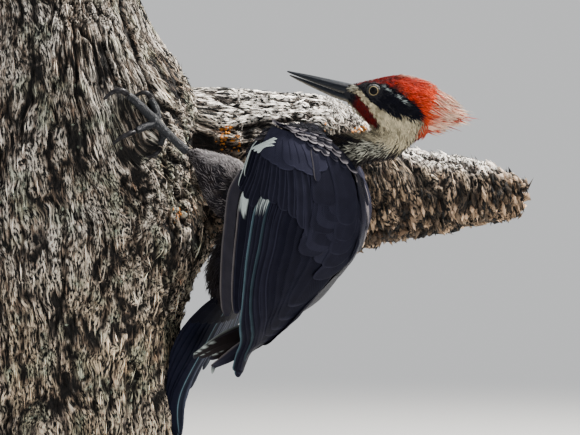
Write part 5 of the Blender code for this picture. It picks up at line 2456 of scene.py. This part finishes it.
@dataclass
class Snag:
    """The dead trunk and broken branch: furrowed wood in strings and plates, with lichen."""

    node: bpy.types.Object
    finishes: Finishes
    grips: list[Array]
    lean: float = 0.10
    knob: tuple[float, float] = (0.105, 0.240)
    knob_height: float = 0.011
    rust_spots: tuple = ((0.124, 0.327, 0.013), (0.080, 0.267, 0.006), (0.236, 0.333, 0.007),
                         (0.205, 0.336, 0.004), (0.10, 0.17, 0.006))
    strewn: tuple = (
        Strewn("wood_fibres", "loose", "tint", 27000.0, (0.0025, 0.00018, 0.0003),
               (0.0105, 0.0005, 0.0010), (0.0, 3.2), 11),
        Strewn("wood_flakes", "ragged", "tint", 60000.0, (0.002, 0.0008, 0.0010),
               (0.0085, 0.0024, 0.0042), (0.05, 2.4), 12),
        Strewn("lichen_crust", "crust", "crust_tone", 90000.0, (0.0007, 0.0006, 0.0003),
               (0.0022, 0.0019, 0.0008), (0.6, 1.5), 13),
    )

    def __post_init__(self) -> None:
        """Makes a coarse smooth copy whose normals steer the relief."""
        places, self.faces, edges = arrays(remeshed(closed(self.node), 6.0 * MM))
        self.coarse = relaxed(places, edges, 8)
        self.normals = unit(relaxed(vertex_normals(self.coarse, self.faces), edges, 6))
        self.search = tree(self.coarse, self.faces)

    def out(self, points: Array) -> Array:
        """Smooth outward directions at places on the wood.

        Args:
            points: World places, one row each.

        Returns:
            One direction for each place.
        """
        corners = self.faces[nearest_on(self.search, points)[2]]
        gaps = np.linalg.norm(self.coarse[corners] - points[:, None, :], axis=2)
        weights = 1.0 / np.maximum(gaps, 1e-4)
        return unit(np.sum(self.normals[corners] * weights[:, :, None], axis=1))

    def branch(self, points: Array) -> Array:
        """How far a place belongs to the branch, from 0 to 1."""
        return ramp(points[:, 0] + noise(points, 26 * MM, 71) * 0.012, 0.085, 0.125)

    def turned(self, points: Array) -> Array:
        """How far the grain has turned from upright to lie along the branch, from 0 to 1.

        Args:
            points: World places, one row each.

        Returns:
            One share for each place.
        """
        share = ramp(points[:, 0], -0.03, 0.13) * ramp(points[:, 2], 0.24, 0.33)
        share = np.maximum(share, ramp(points[:, 0], 0.06, 0.15))
        return share * (1 - 0.85 * self.rotten(points))

    def rotten(self, points: Array) -> Array:
        """How far a place belongs to the crumbling end of the branch, from 0 to 1."""
        return ramp(points[:, 0], 0.205, 0.240)

    def along_grain(self, points: Array) -> Array:
        """Places drawn together along the grain, so that noise on them makes strings.

        Args:
            points: World places, one row each.

        Returns:
            The places drawn together.
        """
        swirl, small = (
            np.stack([noise(points, size * MM, seed + axis) for axis in range(3)], 1) * reach * MM
            for size, seed, reach in ((42, 72, 9), (11, 75, 2.4))
        )
        bent = points + swirl + small
        share = self.turned(points)
        x, z = bent[:, 0] - 0.17, bent[:, 2] - 0.42
        return np.stack([mix(x + self.lean * z, z, share), bent[:, 1], mix(z, -x, share) * 0.24], 1)

    def way(self, points: Array) -> Array:
        """The direction of the grain at places."""
        share = self.turned(points)
        return unit(np.stack([share + 0.05, 0 * share, share - 1.0], 1))

    def relief(self, points: Array) -> Array:
        """Height of the weathered surface, about -1 in the cracks to 1 on the ridges.

        Args:
            points: World places, one row each.

        Returns:
            One height for each place.
        """
        grain = self.along_grain(points)
        ridge, cord = (1 - 2 * np.abs(noise(grain, size, seed))
                       for size, seed in ((7 * MM, 81), (3.4 * MM, 82)))
        fine, wide = (ramp(1 - np.abs(noise(grain, size, seed)) * steep, 0.0, 1.0)
                      for size, seed, steep in ((10 * MM, 84, 4.5), (21 * MM, 87, 7.0)))
        fibre, crack = noise(grain, 1.7 * MM, 83), -fine - wide
        pit, broad = noise(points, 6 * MM, 85), noise(points, 24 * MM, 86)
        return 0.30 * ridge + 0.5 * cord + 0.4 * fibre + 0.7 * crack + 0.16 * pit + 0.3 * broad

    def tones(self, points: Array, height: Array, outs: Array) -> Array:
        """Colours of the wood by relief with painted shade in cracks, branch or trunk, and lichen.

        Args:
            points: World places, one row each.
            height: The relief at each.
            outs: The outward direction at each.

        Returns:
            One colour for each place.
        """
        grain, branch, rotten = self.along_grain(points), self.branch(points), self.rotten(points)
        level = ramp(height, -0.6, 0.7)[:, None]
        patchy = ramp(noise(points, 24 * MM, 91), -0.5, 0.6)[:, None]
        dark = np.array([0.007, 0.005, 0.004])
        brown = mix(np.array([0.115, 0.080, 0.055]), np.array([0.16, 0.13, 0.105]), patchy)
        grey = mix(np.array([0.36, 0.31, 0.25]), np.array([0.52, 0.47, 0.41]), patchy)
        low = ramp(0.26 - points[:, 2], 0.0, 0.12)[:, None]
        grey = grey * mix(1.0, np.array([1.16, 1.06, 0.90]), low)
        grey = mix(grey, np.array([0.30, 0.23, 0.16]), rotten[:, None])
        # Painted shade: near black in the cracks, brown higher up, grey on the ridges, by relief
        # height.
        tone = mix(mix(dark, brown, ramp(level, 0.05, 0.45)), grey, ramp(level, 0.42, 0.95))
        fleck = ramp(noise(grain, 1.7 * MM, 92), 0.35, 0.8)[:, None]
        tone = mix(tone, np.array([0.44, 0.41, 0.37]), 0.6 * fleck * level)
        green = ramp(layered(points, 15 * MM, 93), 0.02, 0.42) * (1 - branch)
        tone = mix(tone, np.array([0.20, 0.235, 0.165]), (0.62 * green[:, None]) * level)
        # The branch's upper side turns pale: bleaching, and painted sunlight on its top.
        upward = ramp(outs[:, 2] - 0.26 * rotten, 0.26, 0.80 - 0.2 * rotten) * branch
        bleached_and_sunlit = mix(np.array([0.05, 0.04, 0.034]), np.array([1.0, 0.94, 0.86]),
                       ramp(level, 0.26, 0.70))
        tone = mix(tone, bleached_and_sunlit, upward[:, None] * 0.9)
        # Darker brown on the branch's underside and at its broken end.
        under = branch * ramp(-outs[:, 2], -0.5, 0.2)
        deep_brown = mix(np.array([0.025, 0.015, 0.009]), np.array([0.25, 0.165, 0.10]), level)
        tone = mix(tone, deep_brown, 0.75 * under[:, None])
        broken = ramp(points[:, 0] + noise(points, 9 * MM, 94) * 0.012, 0.340, 0.368)[:, None]
        tone = mix(tone, deep_brown, 0.8 * broken)
        # Painted shade: dark patches under the crumbling end, as in shadowed hollows.
        hollow_shade = ramp(-noise(grain, 9 * MM, 98), -0.05, 0.30) * rotten
        hollow_shade = hollow_shade * ramp(-outs[:, 2], -0.7, -0.3)
        tone = tone * mix(1.0, 0.28, hollow_shade[:, None])
        rust = ramp(layered(points, 9 * MM, 95), 0.35, 0.6)[:, None] * level
        return mix(tone, np.array([0.26, 0.11, 0.04]), 0.4 * rust)

    def _grip(self, points: Array) -> Array:
        """1 away from feet and tail, falling where they touch the wood.

        Args:
            points: World places, one row each.

        Returns:
            One number for each place.
        """
        free = np.ones(len(points))
        for spots in self.grips:
            search = balanced(spots)
            low, high = spots.min(axis=0) - 0.02, spots.max(axis=0) + 0.02
            near = np.all((points > low) & (points < high), axis=1)
            gaps = np.array([search.find(spot)[2] for spot in points[near].tolist()])
            if len(gaps):
                free[near] = np.minimum(free[near], ramp(gaps, 0.003, 0.014))
        return free

    def _piece(self, cut: Cut) -> bpy.types.Mesh:
        """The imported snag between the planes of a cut, closed again.

        Args:
            cut: The cut.

        Returns:
            A new closed mesh.
        """
        solid = bmesh.new()
        solid.from_mesh(closed(self.node))
        for way, low, high in zip(np.eye(3), *cut.value[:2]):
            for bound, sign in ((low, -1.0), (high, 1.0)):
                done = bmesh.ops.bisect_plane(
                    solid, geom=[*solid.verts, *solid.edges, *solid.faces], dist=1e-6,
                    plane_co=way * bound, plane_no=way * sign, clear_outer=True,
                )
                rim = [e for e in done["geom_cut"] if isinstance(e, bmesh.types.BMEdge)]
                if rim:
                    bmesh.ops.triangle_fill(solid, edges=rim, use_beauty=True)
        mesh = bpy.data.meshes.new("cut")
        solid.to_mesh(mesh)
        solid.free()
        return mesh

    def _length(self, cut: Cut) -> bpy.types.Object:
        """One length of the snag as a closed furrowed mesh.

        Args:
            cut: The cut.

        Returns:
            The length's object.
        """
        mesh = remeshed(self._piece(cut), cut.value[2] * MM)
        places, _, edges = arrays(mesh)
        smooth = relaxed(places, edges, 5)
        outs, height, free = self.out(smooth), self.relief(smooth), self._grip(smooth)
        depth = (height - 0.28) * 3.2 * MM * mix(0.12, 1.0, free) + self._knob(smooth, outs)
        shaped = smooth + outs * depth[:, None]
        shaped[:, 0] += self._splits(smooth)
        mesh.vertices.foreach_set("co", shaped.astype(np.float32).ravel())
        paint(mesh, self.tones(smooth, height, outs))
        spread(mesh, "grain", "FLOAT_VECTOR", self.along_grain(smooth) / MM * 0.9)
        self._mark(mesh, smooth, outs, free)
        dressed(mesh, self.finishes.bark)
        return linked(f"wood_{cut.name.lower()}", mesh)

    def _knob(self, points: Array, outs: Array) -> Array:
        """Height of the swelling on the trunk below the branch.

        Args:
            points: World places, one row each.
            outs: The outward direction at each.

        Returns:
            One height for each place.
        """
        x, z = self.knob
        gap = np.hypot((points[:, 0] - x) / 0.04, (points[:, 2] - z) / 0.030)
        return self.knob_height * np.exp(-gap**2) * ramp(outs[:, 0], 0.1, 0.6)

    def _splits(self, points: Array) -> Array:
        """How far the splinters at the broken end of the branch stand out."""
        spike = ramp(noise(points * [0.25, 1.0, 1.0], 7.0 * MM, 97), -0.1, 0.7) ** 1.5
        return (11.0 * spike - 4.0) * MM * ramp(points[:, 0], 0.335, 0.372)

    def _mark(self, mesh: bpy.types.Mesh, points: Array, outs: Array, free: Array) -> None:
        """Marks on a length where fibres, flakes and lichen may grow, and which way.

        Args:
            mesh: The length's mesh.
            points: Smooth places of its vertices.
            outs: The outward direction at each.
            free: What the feet and tail leave free, from 0 to 1.
        """
        branch = self.branch(points)
        under = branch * ramp(-outs[:, 2], -0.1, 0.5)
        broken = ramp(points[:, 0], 0.33, 0.37)
        rust, jitter = np.zeros(len(points)), noise(points, 4 * MM, 96) * 0.004
        for x, z, wide in self.rust_spots:
            gap = np.hypot(points[:, 0] - x, points[:, 2] - z) + jitter
            rust = np.maximum(rust, ramp(wide - gap, 0.0, 0.3 * wide))
        rust *= ramp(-outs[:, 1], -0.2, 0.2)
        green = ramp(layered(points, 15 * MM, 93), 0.15, 0.5) * (1 - branch)
        spread(mesh, "loose", "FLOAT", free * (1 - 0.5 * under))
        spread(mesh, "ragged", "FLOAT", free * np.maximum(under, 0.8 * broken))
        spread(mesh, "crust", "FLOAT", free * np.maximum(0.16 * green, rust))
        paint(mesh, mix(np.array([0.30, 0.34, 0.26]), np.array([0.85, 0.30, 0.03]),
                        ramp(rust, 0.05, 0.3)[:, None]), "crust_tone")
        spread(mesh, "lie", "FLOAT_VECTOR", self.way(points))

    def build(self) -> None:
        """Every length of the snag, and what is strewn over them."""
        woods = [self._length(cut) for cut in Cut]
        for wood in woods:
            settled(wood, "snag_bark", "perch_snag")
        for kind in self.strewn:
            lichen = kind.share == "crust"
            kind.build(woods, self.finishes.lichen if lichen else self.finishes.bark)
        for wood in woods:
            for name in ("loose", "ragged", "crust", "crust_tone", "lie"):
                wood.data.attributes.remove(wood.data.attributes[name])


@dataclass
class Stand:
    """The display stand: a turned base with a moulded rim, and two rods."""

    nodes: dict[str, bpy.types.Object]
    finishes: Finishes
    rim: float = 0.004
    turns: int = 160
    # The moulding, in rims inwards from the edge and down from the top.
    moulding: tuple = ((0, 2.2), (0.4, 1.5), (1.1, 1.35), (1.5, 0.5), (2.2, 0.1), (3.2, 0))

    def build(self) -> None:
        """The base as a turned piece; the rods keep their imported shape."""
        low, high = (np.array(corner, float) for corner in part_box("stand_base"))
        middle, radius, rim = (low + high) / 2, (high - low)[0] / 2, self.rim
        profile = [(radius - rim, low[2]), (radius, low[2] + rim * 0.6)]
        profile += [(radius - rim * inward, high[2] - rim * down) for inward, down in self.moulding]
        angle = np.linspace(0, 2 * np.pi, self.turns, endpoint=False)
        rows = [np.stack([middle[0] + r * np.cos(angle), middle[1] + r * np.sin(angle),
                          np.full(self.turns, z)], 1) for r, z in profile]
        ends = [[*middle[:2], low[2]], [*middle[:2], high[2]]]
        places = np.concatenate([*rows, ends])
        faces = tube(len(rows), self.turns, len(places) - 2, len(places) - 1)
        tint = np.tile([0.1, 0.06, 0.04], (len(places), 1))
        plain_piece("stand_plinth", "stand_wood", "stand_base", places, faces, tint,
                    self.finishes.wood)
        for name in ("stand_rod_1", "stand_rod_2"):
            for slot in self.nodes[name].material_slots:
                slot.material = self.finishes.steel


@dataclass
class Studio:
    """Pale floor, soft lights and the camera."""

    finishes: Finishes
    target: tuple = (0.1764, -0.09, 0.2645)
    distance: float = 4.0
    elevation: float = 3.0
    breadth: float = 0.4872
    sensor: float = 36.0
    # Soft lights: name, place, size, power and colour.
    lights: tuple = (
        ("key", (1.25, 0.35, 1.7), 0.35, 100.0, (1.0, 0.97, 0.92)),
        ("front", (-2.3, -1.7, 1.6), 1.2, 30.0, (0.95, 0.97, 1.0)),
        ("side", (1.7, -1.5, 0.9), 0.8, 14.0, (1.0, 1.0, 1.0)),
    )

    def _aimed(self, name: str, data: bpy.types.ID, place: Vector) -> bpy.types.Object:
        """A light or camera at a place, turned towards the target.

        Args:
            name: Its name.
            data: The light's or camera's data.
            place: Where it stands.

        Returns:
            The object.
        """
        made = linked(name, data)
        made.location = place
        made.rotation_euler = (Vector(self.target) - made.location).to_track_quat("-Z", "Y").to_euler()
        return made

    def build(self) -> None:
        """Floor, lights, sky and camera."""
        mesh = bpy.data.meshes.new("floor")
        size = 6.0
        mesh.from_pydata([(-size, -size, 0), (size, -size, 0), (size, size, 0), (-size, size, 0)],
                         [], [(0, 1, 2, 3)])
        mesh.materials.append(self.finishes.floor)
        linked("floor", mesh)
        for name, place, size, power, tone in self.lights:
            light = bpy.data.lights.new(name, "AREA")
            light.shape, light.size, light.energy, light.color = "SQUARE", size, power, tone
            self._aimed(name, light, Vector(place))
        world = bpy.data.worlds.new("studio")
        world.use_nodes = True
        background = world.node_tree.nodes["Background"]
        background.inputs[0].default_value = (*SKY, 1.0)
        seen = fill(world.node_tree, "ShaderNodeLightPath").outputs["Is Camera Ray"]
        level = fill(world.node_tree, "ShaderNodeMapRange",
                     {"Value": seen, "To Min": 0.33, "To Max": SKY_LEVEL}).outputs[0]
        plug(world.node_tree, background.inputs[1], level)
        bpy.context.scene.world = world
        rise = math.radians(self.elevation)
        back = Vector((0.0, -math.cos(rise), math.sin(rise)))
        place = Vector(self.target) + back * self.distance
        camera = self._aimed("camera", bpy.data.cameras.new("camera"), place)
        camera.data.sensor_width = self.sensor
        camera.data.lens = self.distance * self.sensor / self.breadth
        camera.data.clip_start, camera.data.clip_end = 0.05, 50.0
        bpy.context.scene.camera = camera


def under_wing(surfaces: Sequence[WingSurface]) -> Callable[[Array, Array], Array]:
    """A function of places and normals that says which lie beneath one of the wings.

    Args:
        surfaces: The wings' surfaces.

    Returns:
        The function.
    """
    blocks = []
    for surface in surfaces:
        along, across = np.meshgrid(np.linspace(0.4, len(surface.stations) - 1.4, 60),
                                    np.linspace(0.02, 0.98, 24), indexing="ij")
        spots = surface.place(across.ravel(), along.ravel())
        blocks.append((spots, halved(woven(np.arange(along.size).reshape(along.shape))), spots))
    places, faces, _ = joined(blocks)
    search = tree(places, faces)

    def covered(points: Array, normals: Array) -> Array:
        """True where a wing lies just outside a place."""
        return np.array([search.ray_cast(Vector(point), Vector(normal), 0.022)[0] is not None
                         for point, normal in zip(points.tolist(), normals.tolist())])

    return covered


def main() -> None:
    """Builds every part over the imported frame."""
    logging.basicConfig(level=logging.INFO, format="%(name)s: %(message)s")
    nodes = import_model()["nodes"]
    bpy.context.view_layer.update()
    body, head = body_axes(), head_axes()
    finishes = Finishes()
    Studio(finishes).build()
    skin = Skin(nodes, body, head, Markings(head, body), finishes)
    skin.build()
    plumage = Plumage(skin, finishes)
    wings = [FoldedWing(side, body, finishes) for side in Side]
    plumage.head_coat()
    plumage.crest_coat()
    plumage.bristles()
    plumage.neck_coat()
    plumage.trunk_coat(under_wing([wing.surface for wing in wings]))
    plumage.thigh_coat()
    for side in Side:
        plumage.arm_coat(side)
    for wing in wings:
        wing.build()
    Tail(body, finishes).build()
    Bill(head, finishes).build()
    Eyes(head, finishes).build()
    Claws(nodes, finishes).build()
    grips = [arrays(closed(node))[0] for name, node in nodes.items()
             if name.startswith(("toe_", "claw_", "tail"))]
    Snag(nodes["perch_snag"], finishes, grips).build()
    Stand(nodes, finishes).build()


if __name__ == "__main__":
    main()
